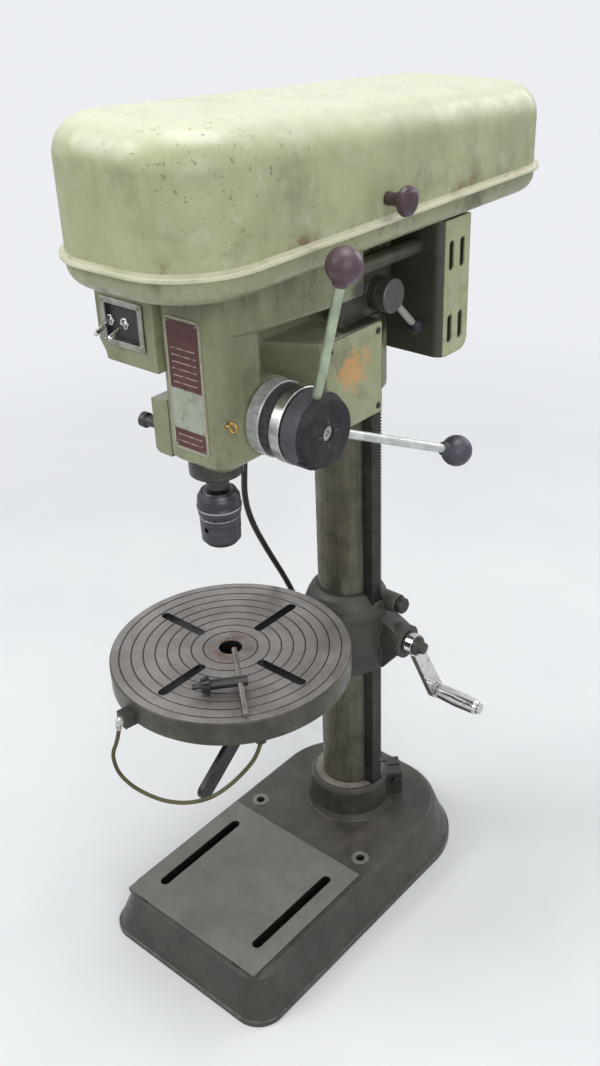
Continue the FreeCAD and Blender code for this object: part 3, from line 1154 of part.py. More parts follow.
def make_motor_bracket():
    """Pressed channel that carries the motor, with slots in its side flanges."""
    y0, y1 = WEB_Y, WEB_Y + PLATE_DEEP
    half = PLATE_HALF - PLATE_T
    outer = box(-PLATE_HALF, PLATE_HALF, y0, y1, PLATE_LOW, PLATE_HIGH)
    outer = outer.makeFillet(12.0, upright_edges(outer, y0 + 0.1))
    inner = box(-half, half, y0 + PLATE_T, y1 + 5, PLATE_LOW - 5, PLATE_HIGH + 5)
    inner = inner.makeFillet(5.0, upright_edges(inner, y0 + PLATE_T + 0.1))
    body = outer.cut(inner)
    r = 14.0
    trim = box(-PLATE_HALF - 1, PLATE_HALF + 1, y1 - r, y1 + 1, PLATE_LOW - 1, PLATE_LOW + r)
    trim = trim.cut(rod(r, (-PLATE_HALF - 2, y1 - r, PLATE_LOW + r), (PLATE_HALF + 2, y1 - r, PLATE_LOW + r)))
    tools = [trim]
    w, reach = PLATE_SLOT_W / 2, (PLATE_SLOT_LEN - PLATE_SLOT_W) / 2
    for side in (-1, 1):
        tools.append(rod(ROD_R - 3, (side * ROD_X, y0 - 2, ROD_Z), (side * ROD_X, y0 + PLATE_T + 2, ROD_Z)))
    for y in (y0 + 16, y0 + 36):
        for z in (PLATE_LOW + 30, PLATE_HIGH - 38):
            ends = [rod(w, (-PLATE_HALF - 2, y, z + end), (PLATE_HALF + 2, y, z + end)) for end in (-reach, reach)]
            slot = box(-PLATE_HALF - 2, PLATE_HALF + 2, y - w, y + w, z - reach, z + reach)
            tools.append(fuse([slot] + ends).cut(box(-half, half, y - 9, y + 9, z - 30, z + 30)))
    return body.cut(tools)


def make_slide_rods():
    rods = []
    for x in (-ROD_X, ROD_X):
        bar = rod(ROD_R, (x, -ROD_FRONT, ROD_Z), (x, WEB_Y, ROD_Z))
        stud = rod(ROD_R - 3, (x, WEB_Y - 1, ROD_Z), (x, WEB_Y + PLATE_T + 9, ROD_Z))
        nut = rod(ROD_R + 1, (x, WEB_Y + PLATE_T, ROD_Z), (x, WEB_Y + PLATE_T + 8, ROD_Z))
        rods.append(fuse([bar, stud, nut]))
    return Part.makeCompound(rods)


def make_tension_lever():
    """Cam shaft with its round head and the lever rod."""
    x = TENSION_FACE + 0.5
    shaft = rod(TENSION_SHAFT_R, (14, TENSION_Y, TENSION_Z), (x + 1, TENSION_Y, TENSION_Z))
    head = turned_x([(0, x), (TENSION_R, x), (TENSION_R, x + 11), (TENSION_R - 1.5, x + 12.5), (0, x + 12.5)],
                    TENSION_Y, TENSION_Z)
    a = math.radians(TENSION_ANGLE)
    end = V(x + 8, TENSION_Y + TENSION_LEVER_LEN * math.cos(a), TENSION_Z + TENSION_LEVER_LEN * math.sin(a))
    lever = rod(4.0, (x + 5, TENSION_Y + 10 * math.cos(a), TENSION_Z + 10 * math.sin(a)), end)
    return fuse([shaft, head, lever, Part.makeSphere(TENSION_BALL_R, end)])


# ---- switch and plates ------------------------------------------------------------------
def bezel_box(inset, y0, y1):
    return box(-BEZEL_LEFT + inset, -BEZEL_RIGHT - inset, y0, y1, BEZEL_LOW + inset, BEZEL_HIGH - inset)


def make_switch_box():
    """Switch module in the casting's recess, with its raised bezel."""
    y = -SWITCH_FRONT
    bezel = bezel_box(0, y - 2.5, y)
    bezel = bezel.makeFillet(2.0, [e for e in bezel.Edges if abs(e.BoundBox.YLength - 2.5) < 0.01])
    z = (BEZEL_LOW + BEZEL_HIGH) / 2
    holes = [rod(3.9, (x, y - 6, z), (x, y + 14, z)) for x in TOGGLE_X]
    return fuse([bezel_box(3.5, y, y + 30), bezel]).cut([bezel_box(BEZEL_BORDER, y - 4, y + 2.5)] + holes)


def make_toggle(x):
    """Toggle lever with its round pivot and cross pin."""
    y, z = -SWITCH_FRONT + 4, (BEZEL_LOW + BEZEL_HIGH) / 2
    tip = V(x, y - 22.5, z - 8.4)
    pin = rod(1.6, (x - 3.4, y, z), (x + 3.4, y, z))
    return fuse([Part.makeSphere(3.2, V(x, y, z)), pin, cone(1.6, 2.6, (x, y, z), tip), Part.makeSphere(2.6, tip)])


def make_nameplate():
    """Plain plate on the flat front of the spindle housing."""
    plate = box(-NOSE_LEFT + NOSE_LEFT_ROUND, NOSE_RIGHT - NOSE_ROUND, -NOSE_FRONT - 1.0, -NOSE_FRONT,
                SIGN_LOW, SIGN_HIGH)
    return plate.makeFillet(5.0, [e for e in plate.Edges if e.BoundBox.YLength > 0.9])


# ---- cords ------------------------------------------------------------------------------
def make_lead():
    return cord("power_lead", LEAD_ROUTE, LEAD_R)


def make_tether():
    return cord("tether_cord", tether_route(), TETHER_R)


def coil_centre():
    """The lead's end is tangent to the outside of its coil."""
    end, before = V(*LEAD_ROUTE[-1]), V(*LEAD_ROUTE[-2])
    along = V(end.x - before.x, end.y - before.y, 0).normalize()
    return V(end.x, end.y, 0) + V(-along.y, along.x, 0) * (COIL_TURN_R[-1] + 2 * LEAD_R + GAP)


def make_lead_gland():
    """Tapered strain relief under the head."""
    x, y, z = LEAD_ROUTE[0]
    collar = Part.makeCylinder(LEAD_R + 3.5, 4, V(x, y, HEAD_LOW - 4))
    return collar.fuse(cone(LEAD_R + 2.5, LEAD_R + 0.8, (x, y, HEAD_LOW - 3), (x, y, z + 0.4)))


def make_coil():
    """Outer shape of the wound up part of the lead."""
    r0, r1 = COIL_TURN_R[0] - LEAD_R, COIL_TURN_R[-1] + LEAD_R
    h = 2 * LEAD_R * COIL_LAYERS
    return turned([(r0 + 1, 0.2), (r1 - 1, 0.2), (r1, 1.2), (r1, h - 1), (r1 - 1, h), (r0 + 1, h), (r0, h - 1),
                   (r0, 1.2)], coil_centre())


def make_plug():
    """Two pin plug lying beside the coil, its cord end towards the top layer."""
    body = box(-20, 14, -11, 11, 0.2, 18.2)
    body = body.makeFillet(4.0, [e for e in body.Edges if e.BoundBox.ZLength > 10])
    pins = [box(13, 31, s * 6.35 - 0.75, s * 6.35 + 0.75, 6, 12.4) for s in (-1, 1)]
    shape = fuse([body] + pins)
    shape.rotate(V(0, 0, 0), Z, 250)
    shape.translate(coil_centre() + V(-64.8, -32.8, 0))
    return shape


NODES = {
    "base": make_base, "column": make_column, "rack": make_rack, "base_clamp_screw": base_clamp_screw,
    "table_bracket": make_bracket, "lift_pinion": make_lift_pinion,
    "crank_arm": make_crank_arm, "crank_nut": make_crank_nut, "crank_grip": make_crank_grip,
    "bracket_lock_screw": make_bracket_lock, "table_clamp_lever": make_table_clamp, "table": make_table,
    "tether_screw": make_tether_screw, "chuck_key": make_chuck_key,
    "chuck_key_bar": make_chuck_key_bar, "head_casting": make_head, "head_clamp_screws": make_head_clamp_screws,
    "gearbox_cover": make_side_cover, "quill": make_quill, "quill_collar": make_quill_collar,
    "quill_bearings": make_quill_bearings, "spindle": make_spindle, "chuck_body": make_chuck_body,
    "chuck_sleeve": make_chuck_sleeve, "feed_shaft": make_feed_shaft,
    "depth_dial": make_depth_dial, "dial_lock_ring": make_dial_lock_ring,
    "feed_hub": make_feed_hub, "feed_spokes": make_spokes, "feed_balls": make_balls,
    "return_spring_cap": make_return_cap, "return_spring": make_return_spring, "quill_lock_screw": make_quill_lock,
    "dial_pointer": make_dial_pointer, "drive_sleeve": make_drive_sleeve, "drive_bearings": make_drive_bearings,
    "v_belt": make_belt, "belt_tray": make_tray, "belt_cover": make_cover, "cover_hinge_pins": make_hinge_pins,
    "cover_knob": make_cover_knob, "motor_body": make_motor_body, "motor_shaft": make_motor_shaft,
    "power_lead": make_lead, "lead_coil": make_coil, "power_plug": make_plug, "lead_gland": make_lead_gland,
    "tether_cord": make_tether, "motor_bracket": make_motor_bracket, "slide_rods": make_slide_rods,
    "tension_lever": make_tension_lever,
    "switch_box": make_switch_box, "nameplate": make_nameplate,
}

for node, maker in NODES.items():
    save(node, maker())
for node, steps, y, bore in (("spindle_pulley", SPINDLE_STEPS, SPINDLE_Y, SLEEVE_DRIVE_R),
                             ("motor_pulley", MOTOR_STEPS, MOTOR_Y, MOTOR_SHAFT_R)):
    save(node, step_pulley(steps, y, bore))
for n, x in enumerate(TOGGLE_X):
    save(("toggle_left", "toggle_right")[n], make_toggle(x))
for n in range(3):
    save("chuck_jaw_" + str(n + 1), make_jaw(n))
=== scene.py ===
"""Bench pillar drill: finishes, small parts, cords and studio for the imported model, in metres."""
import math
import bmesh
import bpy
import numpy as np
from bpy.props import FloatProperty, FloatVectorProperty, PointerProperty
from mathutils import Matrix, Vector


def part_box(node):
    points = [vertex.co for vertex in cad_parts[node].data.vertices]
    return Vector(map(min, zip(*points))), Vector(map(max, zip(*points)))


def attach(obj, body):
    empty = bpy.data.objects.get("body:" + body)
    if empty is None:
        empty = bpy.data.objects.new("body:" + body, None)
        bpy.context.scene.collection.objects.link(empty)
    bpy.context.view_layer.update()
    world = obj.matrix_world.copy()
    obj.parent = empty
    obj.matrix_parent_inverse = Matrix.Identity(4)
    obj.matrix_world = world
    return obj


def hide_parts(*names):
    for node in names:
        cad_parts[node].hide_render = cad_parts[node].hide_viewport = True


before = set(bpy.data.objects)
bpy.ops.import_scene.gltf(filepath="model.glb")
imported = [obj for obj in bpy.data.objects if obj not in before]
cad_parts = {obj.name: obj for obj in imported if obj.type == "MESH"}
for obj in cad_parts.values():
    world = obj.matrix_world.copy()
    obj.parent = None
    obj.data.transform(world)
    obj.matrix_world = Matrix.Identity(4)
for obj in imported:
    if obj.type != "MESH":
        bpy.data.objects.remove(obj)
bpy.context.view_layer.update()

bl_info = {
    "name": "Bench pillar drill",
    "version": (1, 0, 0),
    "blender": (4, 5, 0),
    "location": "View3D > Sidebar > Drill",
    "description": "Finishes and details of a belt driven bench pillar drill",
    "category": "Object",
}

MM = 0.001
BACKGROUND = (0.84, 0.86, 0.89)


# ---- places read from the frame ----
def middle(node):
    """Middle of a CAD node's box."""
    low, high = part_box(node)
    return (np.array(low) + np.array(high)) / 2


SPINDLE_Y = float(middle("spindle")[1])
FEED_AT = middle("dial_lock_ring")
TABLE_TOP = float(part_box("table")[1][2])
TRAY_LOW, TRAY_RIM = (float(corner[2]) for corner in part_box("belt_tray"))

# ---- places on single nodes ----
BASE_PAD_LOW, BASE_PAD_HALF, BASE_PAD_REAR = 0.0642, 0.106, -0.085
BASE_SLOT_X, BASE_SLOT_HALF, BASE_SLOT_REAR, BASE_SLOT_LOW = 0.078, 0.0066, -0.130, 0.045
BASE_BOLT, BASE_SPOT_RADIUS, BASE_TOP = (0.086, -0.088), 0.0112, 0.0601
SOCKET_RADIUS, SOCKET_TOP = 0.0470, 0.1060
CHANNEL_HALF, CHANNEL_FRONT = 0.0888, 0.100
TENSION_BOSS = (0.06, 0.0, 0.774)
TENSION_BALL = (0.0655, 0.0445, 0.0085)  # its height counts from the lever's underside
SPINDLE_NECK = (0.650, 0.640)
CHUCK_RINGS = (0.5965, 0.5865)
DIAL_FACE_WIDTH = 0.016
TABLE_SLOT_REACH = 0.118


# ---- properties ----
def colour_of(name, text, value):
    return FloatVectorProperty(name=name, description=text, default=value, subtype="COLOR", min=0, max=1)


class DrillColours(bpy.types.PropertyGroup):
    """Colours of the paint and the bare parts."""
    sage: colour_of("Sage enamel", "Paint of the head, tray and cover", (0.358, 0.386, 0.216))
    # Pale sage also paints the highlight on the enamel's upward faces, besides its paler patches.
    pale_highlight_sage: colour_of("Pale sage", "Faded paint on the upper faces", (0.500, 0.535, 0.385))
    iron: colour_of("Dark iron", "Paint of the base and the table bracket", (0.030, 0.027, 0.022))
    table: colour_of("Table iron", "Machined face of the table", (0.225, 0.205, 0.190))
    column: colour_of("Column steel", "Ground steel of the column", (0.105, 0.098, 0.070))
    hub: colour_of("Hub black", "Moulded hub of the feed handles", (0.060, 0.058, 0.068))
    plum: colour_of("Plum ball", "Ball of the upper handle and the cover knob", (0.060, 0.032, 0.042))
    slate: colour_of("Slate ball", "Ball of the lower handle", (0.036, 0.036, 0.048))
    plate_red: colour_of("Plate red", "Enamel fields of the front plate", (0.085, 0.020, 0.018))
    tether: colour_of("Tether cord", "Woven cord of the key", (0.130, 0.120, 0.060))


class DrillSizes(bpy.types.PropertyGroup):
    """Sizes of the pieces that are added to the model."""
    lead_diameter: FloatProperty(name="Lead diameter", description="Outside of the mains lead",
                                 unit="LENGTH", default=0.007, min=0.004, max=0.012)
    tether_diameter: FloatProperty(name="Tether diameter", description="Outside of the key's cord",
                                   unit="LENGTH", default=0.0044, min=0.002, max=0.006)
    screw_radius: FloatProperty(name="Screw head radius", description="Heads of the gearbox cover's screws",
                                unit="LENGTH", default=0.0036, min=0.002, max=0.006)
    lens: FloatProperty(name="Lens", description="Focal length of the camera in millimetres",
                        default=38.41, min=10, max=200)


# ---- materials ----
class Finish:
    """A material's node tree, built with short calls. Sockets and plain values mix freely."""

    def __init__(self, name, roughness=0.5, metallic=0.0, specular=0.5):
        self.material = bpy.data.materials.new(name)
        self.material.use_nodes = True
        self.tree = self.material.node_tree
        self.tree.nodes.clear()
        self.shader = self.node("ShaderNodeBsdfPrincipled")
        self.tree.links.new(self.shader.outputs[0], self.node("ShaderNodeOutputMaterial").inputs[0])
        self.shader.inputs["Roughness"].default_value = roughness
        self.shader.inputs["Metallic"].default_value = metallic
        self.shader.inputs["Specular IOR Level"].default_value = specular
        self.place = self.node("ShaderNodeTexCoord").outputs["Object"]
        self.height = None

    def node(self, kind, **settings):
        new = self.tree.nodes.new(kind)
        for key, value in settings.items():
            setattr(new, key, value)
        return new

    def put(self, socket, value):
        if isinstance(value, bpy.types.NodeSocket):
            self.tree.links.new(value, socket)
        elif socket.type == "RGBA":
            socket.default_value = (*value, 1.0)
        else:
            socket.default_value = value

    def at(self, scale=(1, 1, 1), move=(0, 0, 0)):
        """Object coordinates, stretched and moved."""
        mapping = self.node("ShaderNodeMapping")
        self.put(mapping.inputs["Vector"], self.place)
        mapping.inputs["Scale"].default_value = scale
        mapping.inputs["Location"].default_value = move
        return mapping.outputs[0]

    def noise(self, scale, detail=4.0, rough=0.55, vector=None, warp=0.0):
        new = self.node("ShaderNodeTexNoise")
        self.put(new.inputs["Vector"], vector or self.place)
        new.inputs["Scale"].default_value = scale
        new.inputs["Detail"].default_value = detail
        new.inputs["Roughness"].default_value = rough
        new.inputs["Distortion"].default_value = warp
        return new.outputs["Fac"]

    def calc(self, operation, a, b=0.0, c=0.0, clamp=False):
        new = self.node("ShaderNodeMath", operation=operation, use_clamp=clamp)
        for socket, value in zip(new.inputs, (a, b, c)):
            self.put(socket, value)
        return new.outputs[0]

    def times(self, *factors):
        product = factors[0]
        for factor in factors[1:]:
            product = self.calc("MULTIPLY", product, factor)
        return product

    def length(self, *ways):
        """Root of the sum of the squares."""
        total = self.times(ways[0], ways[0])
        for way in ways[1:]:
            total = self.calc("ADD", total, self.times(way, way))
        return self.calc("SQRT", total)

    def range(self, value, low, high, to_low=0.0, to_high=1.0):
        """Value between low and high, spread over to_low to to_high and held there."""
        new = self.node("ShaderNodeMapRange", clamp=True, interpolation_type="SMOOTHSTEP")
        for key, level in (("Value", value), ("From Min", low), ("From Max", high),
                           ("To Min", to_low), ("To Max", to_high)):
            self.put(new.inputs[key], level)
        return new.outputs[0]

    def mottle(self, noise, *levels):
        """Patches: a noise of scale, detail and roughness, spread between levels as in range."""
        return self.range(self.noise(*noise), *levels)

    def within(self, value, low, high, soft):
        """1 between low and high, fading over soft inside each end."""
        return self.times(self.range(value, low, low + soft), self.range(value, high, high - soft))

    def blend(self, share, a, b):
        """Colour a, with colour b over it by its share."""
        new = self.node("ShaderNodeMix", data_type="RGBA")
        self.put(new.inputs["Factor"], share)
        self.put(new.inputs[6], a)
        self.put(new.inputs[7], b)
        return new.outputs[2]

    def parts(self, vector=None):
        """X, Y and Z of the object coordinates."""
        new = self.node("ShaderNodeSeparateXYZ")
        self.put(new.inputs[0], vector or self.place)
        return new.outputs

    def facing_up(self):
        geometry = self.node("ShaderNodeNewGeometry")
        return self.parts(geometry.outputs["Normal"])[2]

    def edges(self, radius):
        """1 along sharp outer and inner edges, 0 on open faces; the rounded normal comes with it."""
        bevel = self.node("ShaderNodeBevel", samples=4)
        bevel.inputs["Radius"].default_value = radius
        geometry = self.node("ShaderNodeNewGeometry")
        dot = self.node("ShaderNodeVectorMath", operation="DOT_PRODUCT")
        self.put(dot.inputs[0], bevel.outputs[0])
        self.put(dot.inputs[1], geometry.outputs["Normal"])
        return self.range(dot.outputs["Value"], 0.995, 0.80), bevel.outputs[0]

    def bump(self, height, distance, normal=None, strength=1.0):
        """Add relief of a height in metres on top of what is there."""
        new = self.node("ShaderNodeBump")
        new.inputs["Strength"].default_value = strength
        new.inputs["Distance"].default_value = distance
        self.put(new.inputs["Height"], height)
        below = normal or self.height
        if below is not None:
            self.put(new.inputs["Normal"], below)
        self.height = new.outputs[0]

    def done(self, colour, roughness=None):
        self.put(self.shader.inputs["Base Color"], colour)
        if roughness is not None:
            self.put(self.shader.inputs["Roughness"], roughness)
        if self.height is not None:
            self.put(self.shader.inputs["Normal"], self.height)
        return self.material


def darker(colour, share):
    return tuple(c * share for c in colour)


def sage_enamel(name, colours, rust=0.35, rim=None, dents=0.0006, shade=1.0, specks=0.5, grime_and_shade_level=1.0):
    """Old hand painted enamel: mottled, paler on upward faces as a painted highlight, darker on downward
    faces as dirt and painted shade, chipped to dark primer, rust along the rim.
    """
    f = Finish(name, specular=0.55)
    base, pale = darker(colours.sage, shade), darker(colours.pale_highlight_sage, shade)
    wear, rounded = f.edges(0.0022)
    z = f.parts()[2]
    tone = f.blend(f.mottle((9.0, 5.0), 0.35, 0.68), base, darker(base, 0.82))
    tone = f.blend(f.mottle((38.0, 6.0, 0.65), 0.50, 0.74, 0.0, 0.50), tone, darker(pale, 0.90))
    # Painted highlight: upward faces turn towards the pale sage.
    tone = f.blend(f.range(f.facing_up(), 0.35, 0.98, 0.0, 0.80), tone, pale)
    runs = f.noise(1.0, 5.0, 0.65, f.at((95, 95, 7)))
    tone = f.blend(f.range(runs, 0.55, 0.75, 0.0, 0.34 * grime_and_shade_level), tone, (0.115, 0.088, 0.036))
    # Darker on downward faces: mottled dirt and painted shade in one layer.
    underside_grime_and_shade = f.times(f.mottle((16.0, 8.0, 0.72), 0.47, 0.70),
                    f.range(f.facing_up(), 0.6, -0.3, 0.20 * grime_and_shade_level, 0.75 * grime_and_shade_level))
    tone = f.blend(underside_grime_and_shade, tone, (0.070, 0.060, 0.032))
    spots = f.times(f.mottle((190.0, 5.0, 0.7), 0.615, 0.650), f.mottle((7.0, 3.0), 0.48, 0.60))
    worn = f.times(wear, f.mottle((60.0, 6.0, 0.7), 0.46, 0.60))
    bare = f.times(f.calc("MAXIMUM", spots, worn), specks)
    stain = f.range(f.noise(22.0, 6.0, 0.7, warp=0.6), 0.60, 0.78, 0.0, rust)
    if rim is not None:
        low = f.range(z, rim + 0.026, rim + 0.004)
        stain = f.calc("MAXIMUM", stain, f.times(low, f.mottle((26.0, 7.0, 0.7), 0.50, 0.70, 0.0, 0.8)))
    tone = f.blend(stain, tone, (0.150, 0.080, 0.024))
    tone = f.blend(bare, tone, f.blend(f.noise(80.0), (0.050, 0.030, 0.020), (0.028, 0.026, 0.022)))
    if rim is not None:
        bead = f.range(z, rim + 0.0034, rim + 0.0026)
        tone = f.blend(f.times(bead, f.mottle((34.0, 5.0), 0.30, 0.55, 0.45, 1.0)), tone, (0.56, 0.54, 0.40))
    rough = f.mottle((48.0, 5.0), 0.3, 0.7, 0.24, 0.44)
    rough = f.calc("ADD", rough, f.times(f.calc("MAXIMUM", bare, underside_grime_and_shade), 0.30), clamp=True)
    f.bump(f.noise(11.0, 2.0), dents * 6, rounded, 0.6)
    f.bump(f.noise(900.0, 2.0), 0.00010)
    f.bump(f.times(bare, -1.0), 0.00022)
    return f.done(tone, rough)


def dark_enamel(name, colour, dust, gloss=0.0):
    """Dark shop paint on rough iron, dusty on top, rubbed paler on its edges."""
    f = Finish(name, specular=0.45)
    wear, rounded = f.edges(0.0025)
    tone = f.blend(f.mottle((14.0, 6.0, 0.65), 0.35, 0.70), colour, darker(colour, 1.75))
    tone = f.blend(f.mottle((120.0, 6.0, 0.7), 0.55, 0.72, 0.0, 0.5), tone, darker(colour, 2.6))
    settled = f.times(f.range(f.facing_up(), 0.55, 0.98), f.mottle((26.0, 7.0, 0.75), 0.30, 0.72, 0.15, 1.0))
    tone = f.blend(f.times(settled, dust), tone, (0.200, 0.180, 0.145))
    stain = f.range(f.noise(30.0, 5.0, 0.7, warp=0.8), 0.63, 0.76, 0.0, 0.45)
    tone = f.blend(stain, tone, (0.105, 0.060, 0.030))
    tone = f.blend(f.times(wear, f.mottle((70.0, 5.0), 0.36, 0.62, 0.1, 0.8)), tone, (0.165, 0.150, 0.125))
    rough = f.mottle((60.0, 5.0), 0.3, 0.7, 0.42 - gloss, 0.68 - gloss)
    f.bump(f.noise(24.0, 3.0), 0.0020, rounded, 0.5)
    f.bump(f.noise(420.0, 4.0), 0.00035)
    return f.done(tone, rough)


def turned_face(name, colour, centre, rust_radius):
    """Faced iron: fine rings about an upright axis, handling stains and rust near the middle, painted shade
    on the groove floors and slot walls.
    """
    f = Finish(name, metallic=0.75, specular=0.5)
    x, y, z = f.parts(f.at(move=(-centre[0], -centre[1], 0)))
    radius = f.length(x, y)
    _, rounded = f.edges(0.0012)
    up = f.range(f.facing_up(), 0.80, 0.97)
    rings = f.calc("SINE", f.times(radius, 5200.0))
    tone = f.blend(f.mottle((17.0, 6.0, 0.65), 0.32, 0.72), colour, darker(colour, 1.55))
    tone = f.blend(f.mottle((90.0, 6.0, 0.7), 0.55, 0.72, 0.0, 0.5), tone, darker(colour, 0.62))
    tone = f.blend(f.range(rings, -1.0, 1.0, 0.0, 0.18), tone, darker(colour, 0.45))
    rust = f.range(radius, rust_radius * 2.2, rust_radius * 0.8)
    rust = f.times(rust, f.mottle((60.0, 6.0, 0.7), 0.36, 0.62))
    tone = f.blend(f.times(rust, 0.75), tone, (0.125, 0.055, 0.022))
    side = f.blend(f.mottle((30.0, 6.0, 0.7), 0.35, 0.7), (0.036, 0.033, 0.024), (0.080, 0.072, 0.050))
    tone = f.blend(up, side, tone)
    # Painted shade: groove floors below the table face and the slot walls are darkened to near black.
    groove_floor_shade = f.times(f.range(z, TABLE_TOP - 0.0002, TABLE_TOP - 0.0005), up)
    tone = f.blend(f.times(groove_floor_shade, 0.85), tone, (0.030, 0.026, 0.024))
    slot_wall_shade = f.times(f.range(radius, TABLE_SLOT_REACH, TABLE_SLOT_REACH - 0.002), f.range(up, 0.5, 0.2))
    tone = f.blend(slot_wall_shade, tone, (0.010, 0.010, 0.009))
    rough = f.mottle((40.0, 5.0), 0.3, 0.7, 0.30, 0.52)
    f.bump(f.noise(300.0, 3.0), 0.00012, rounded)
    f.bump(rings, 0.00002)
    f.put(f.shader.inputs["Metallic"], f.range(up, 0.0, 1.0, 0.25, 0.72))
    return f.done(tone, rough)


def worked_steel(name, colour, grain, dirt, roughness, metallic):
    """Bare steel with a grain along one way, darker where oil and dirt sit."""
    f = Finish(name, metallic=metallic, specular=0.5)
    wear, rounded = f.edges(0.0008)
    lines = f.noise(12.0, 6.0, 0.7, f.at(grain))
    tone = f.blend(f.range(lines, 0.3, 0.7), darker(colour, 0.78), darker(colour, 1.22))
    tone = f.blend(f.mottle((32.0, 7.0, 0.7), 0.42, 0.72, 0.0, dirt), tone, darker(colour, 0.30))
    tone = f.blend(f.mottle((210.0, 4.0, 0.7), 0.62, 0.70, 0.0, 0.3), tone, (0.090, 0.050, 0.028))
    tone = f.blend(f.times(wear, 0.35), tone, darker(colour, 1.7))
    rough = f.calc("ADD", f.mottle((55.0, 5.0), 0.3, 0.7, -0.08, 0.16), roughness)
    f.bump(lines, 0.00006, rounded)
    return f.done(tone, rough)


def spoke_steel(name, colour):
    """Steel rod with its grain along X, half dulled."""
    return worked_steel(name, colour, (1, 6, 6), 0.35, 0.34, 0.6)


def chuck_finish(name, colour):
    """Blackened steel with thin bright rings about an upright axis at two heights: worn edges and painted
    highlights.
    """
    f = reopen(worked_steel(name, colour, (1, 1, 40), 0.4, 0.30, 0.75))
    z = f.parts()[2]
    # Pale rings at the ring edges: wear and painted highlight.
    for height in CHUCK_RINGS:
        near = f.range(f.calc("ABSOLUTE", f.calc("SUBTRACT", z, height)), 0.0011, 0.0005)
        overlay(f, f.times(near, f.mottle((60.0, 4.0), 0.30, 0.55, 0.35, 0.9)), (0.44, 0.45, 0.46))
    return f.material


def moulding(name, colour, roughness=0.32, scuffs=0.4):
    """Phenolic or plastic moulding: even colour, fine scuffs, a little dust."""
    f = Finish(name, specular=0.5)
    wear, rounded = f.edges(0.0008)
    tone = f.blend(f.mottle((34.0, 6.0, 0.65), 0.35, 0.70), colour, darker(colour, 1.6))
    tone = f.blend(f.mottle((150.0, 6.0, 0.75), 0.56, 0.72, 0.0, scuffs), tone, darker(colour, 3.2))
    tone = f.blend(f.times(wear, 0.35), tone, darker(colour, 3.0))
    rough = f.calc("ADD", f.mottle((70.0, 6.0, 0.7), 0.35, 0.70, 0.0, 0.26), roughness)
    f.bump(f.noise(420.0, 3.0), 0.00008, rounded)
    return f.done(tone, rough)


def chromed(name):
    """Chromium plate gone patchy, with peeled specks."""
    f = Finish(name, metallic=1.0)
    _, rounded = f.edges(0.0010)
    peeled = f.mottle((130.0, 6.0, 0.72), 0.58, 0.66)
    tone = f.blend(f.mottle((40.0, 5.0), 0.35, 0.7), (0.70, 0.70, 0.69), (0.50, 0.50, 0.48))
    tone = f.blend(peeled, tone, (0.120, 0.095, 0.070))
    rough = f.calc("ADD", f.mottle((60.0, 4.0), 0.3, 0.7, 0.10, 0.26), f.times(peeled, 0.4))
    f.bump(f.noise(18.0, 3.0), 0.0010, rounded, 0.35)
    f.bump(f.times(peeled, -1.0), 0.00008)
    return f.done(tone, rough)


def around_x(f, centre):
    """Angle about the line along X through centre, in turns from 0 to 1, and the X place."""
    x, y, z = f.parts(f.at(move=(0, -float(centre[1]), -float(centre[2]))))
    angle = f.calc("MULTIPLY_ADD", f.calc("ARCTAN2", z, y), 1 / (2 * math.pi), 0.5)
    return angle, x


def marks(f, turn, count, width):
    """1 on count evenly spaced marks per turn."""
    part = f.calc("FRACT", f.times(turn, float(count)))
    off = f.calc("ABSOLUTE", f.calc("SUBTRACT", part, 0.5))
    return f.range(off, 0.5 - width * count, 0.5 - width * count * 0.7)


def crossing(f, turn, count, along, pitch):
    """Two waves that wind opposite ways: count in a turn, pitch in radians per metre along."""
    return [f.calc("SINE", f.calc("MULTIPLY_ADD", turn, 2 * math.pi * count, f.times(along, way * pitch)))
            for way in (1, -1)]


def dial_steel(name, centre, face_end):
    """Graduated dial: bright steel with fine and long marks up to face_end, then a knurled dark band."""
    f = Finish(name, metallic=0.85, roughness=0.35)
    turn, x = around_x(f, centre)
    _, rounded = f.edges(0.0006)
    tone = f.blend(f.mottle((70.0, 6.0, 0.7), 0.38, 0.66), (0.56, 0.57, 0.57), (0.38, 0.39, 0.39))
    tone = f.blend(f.mottle((120.0, 6.0, 0.75), 0.58, 0.68, 0.0, 0.8), tone, (0.090, 0.080, 0.070))
    fine = f.times(marks(f, turn, 65, 0.0006), f.range(x, face_end - 0.0050, face_end - 0.0045))
    long = f.times(marks(f, turn, 13, 0.0008), f.range(x, face_end - 0.0085, face_end - 0.0080))
    line = f.times(f.calc("MAXIMUM", fine, long), f.range(x, face_end + 0.0003, face_end - 0.0001))
    tone = f.blend(line, tone, (0.015, 0.015, 0.015))
    band = f.range(x, face_end - 0.0001, face_end + 0.0001)
    dark = f.blend(f.mottle((90.0, 5.0), 0.35, 0.7), (0.030, 0.030, 0.034), (0.075, 0.072, 0.074))
    tone = f.blend(band, tone, dark)
    a, b = crossing(f, turn, 110, x, 3200.0)
    f.bump(f.times(a, b, band), 0.00035, rounded)
    f.bump(f.times(line, -1.0), 0.0002)
    f.put(f.shader.inputs["Metallic"], f.range(band, 0.0, 1.0, 0.40, 0.35))
    return f.done(tone, f.mottle((60.0, 5.0), 0.3, 0.7, 0.28, 0.52))


def rubber(name, colour, roughness=0.62):
    """Rubber or soft vinyl with a dull bloom."""
    f = Finish(name, specular=0.4)
    tone = f.blend(f.mottle((60.0, 6.0, 0.7), 0.35, 0.7), colour, darker(colour, 2.2))
    f.bump(f.noise(800.0, 3.0), 0.00005)
    return f.done(tone, f.mottle((80.0, 4.0), 0.3, 0.7, roughness - 0.12, roughness + 0.12))


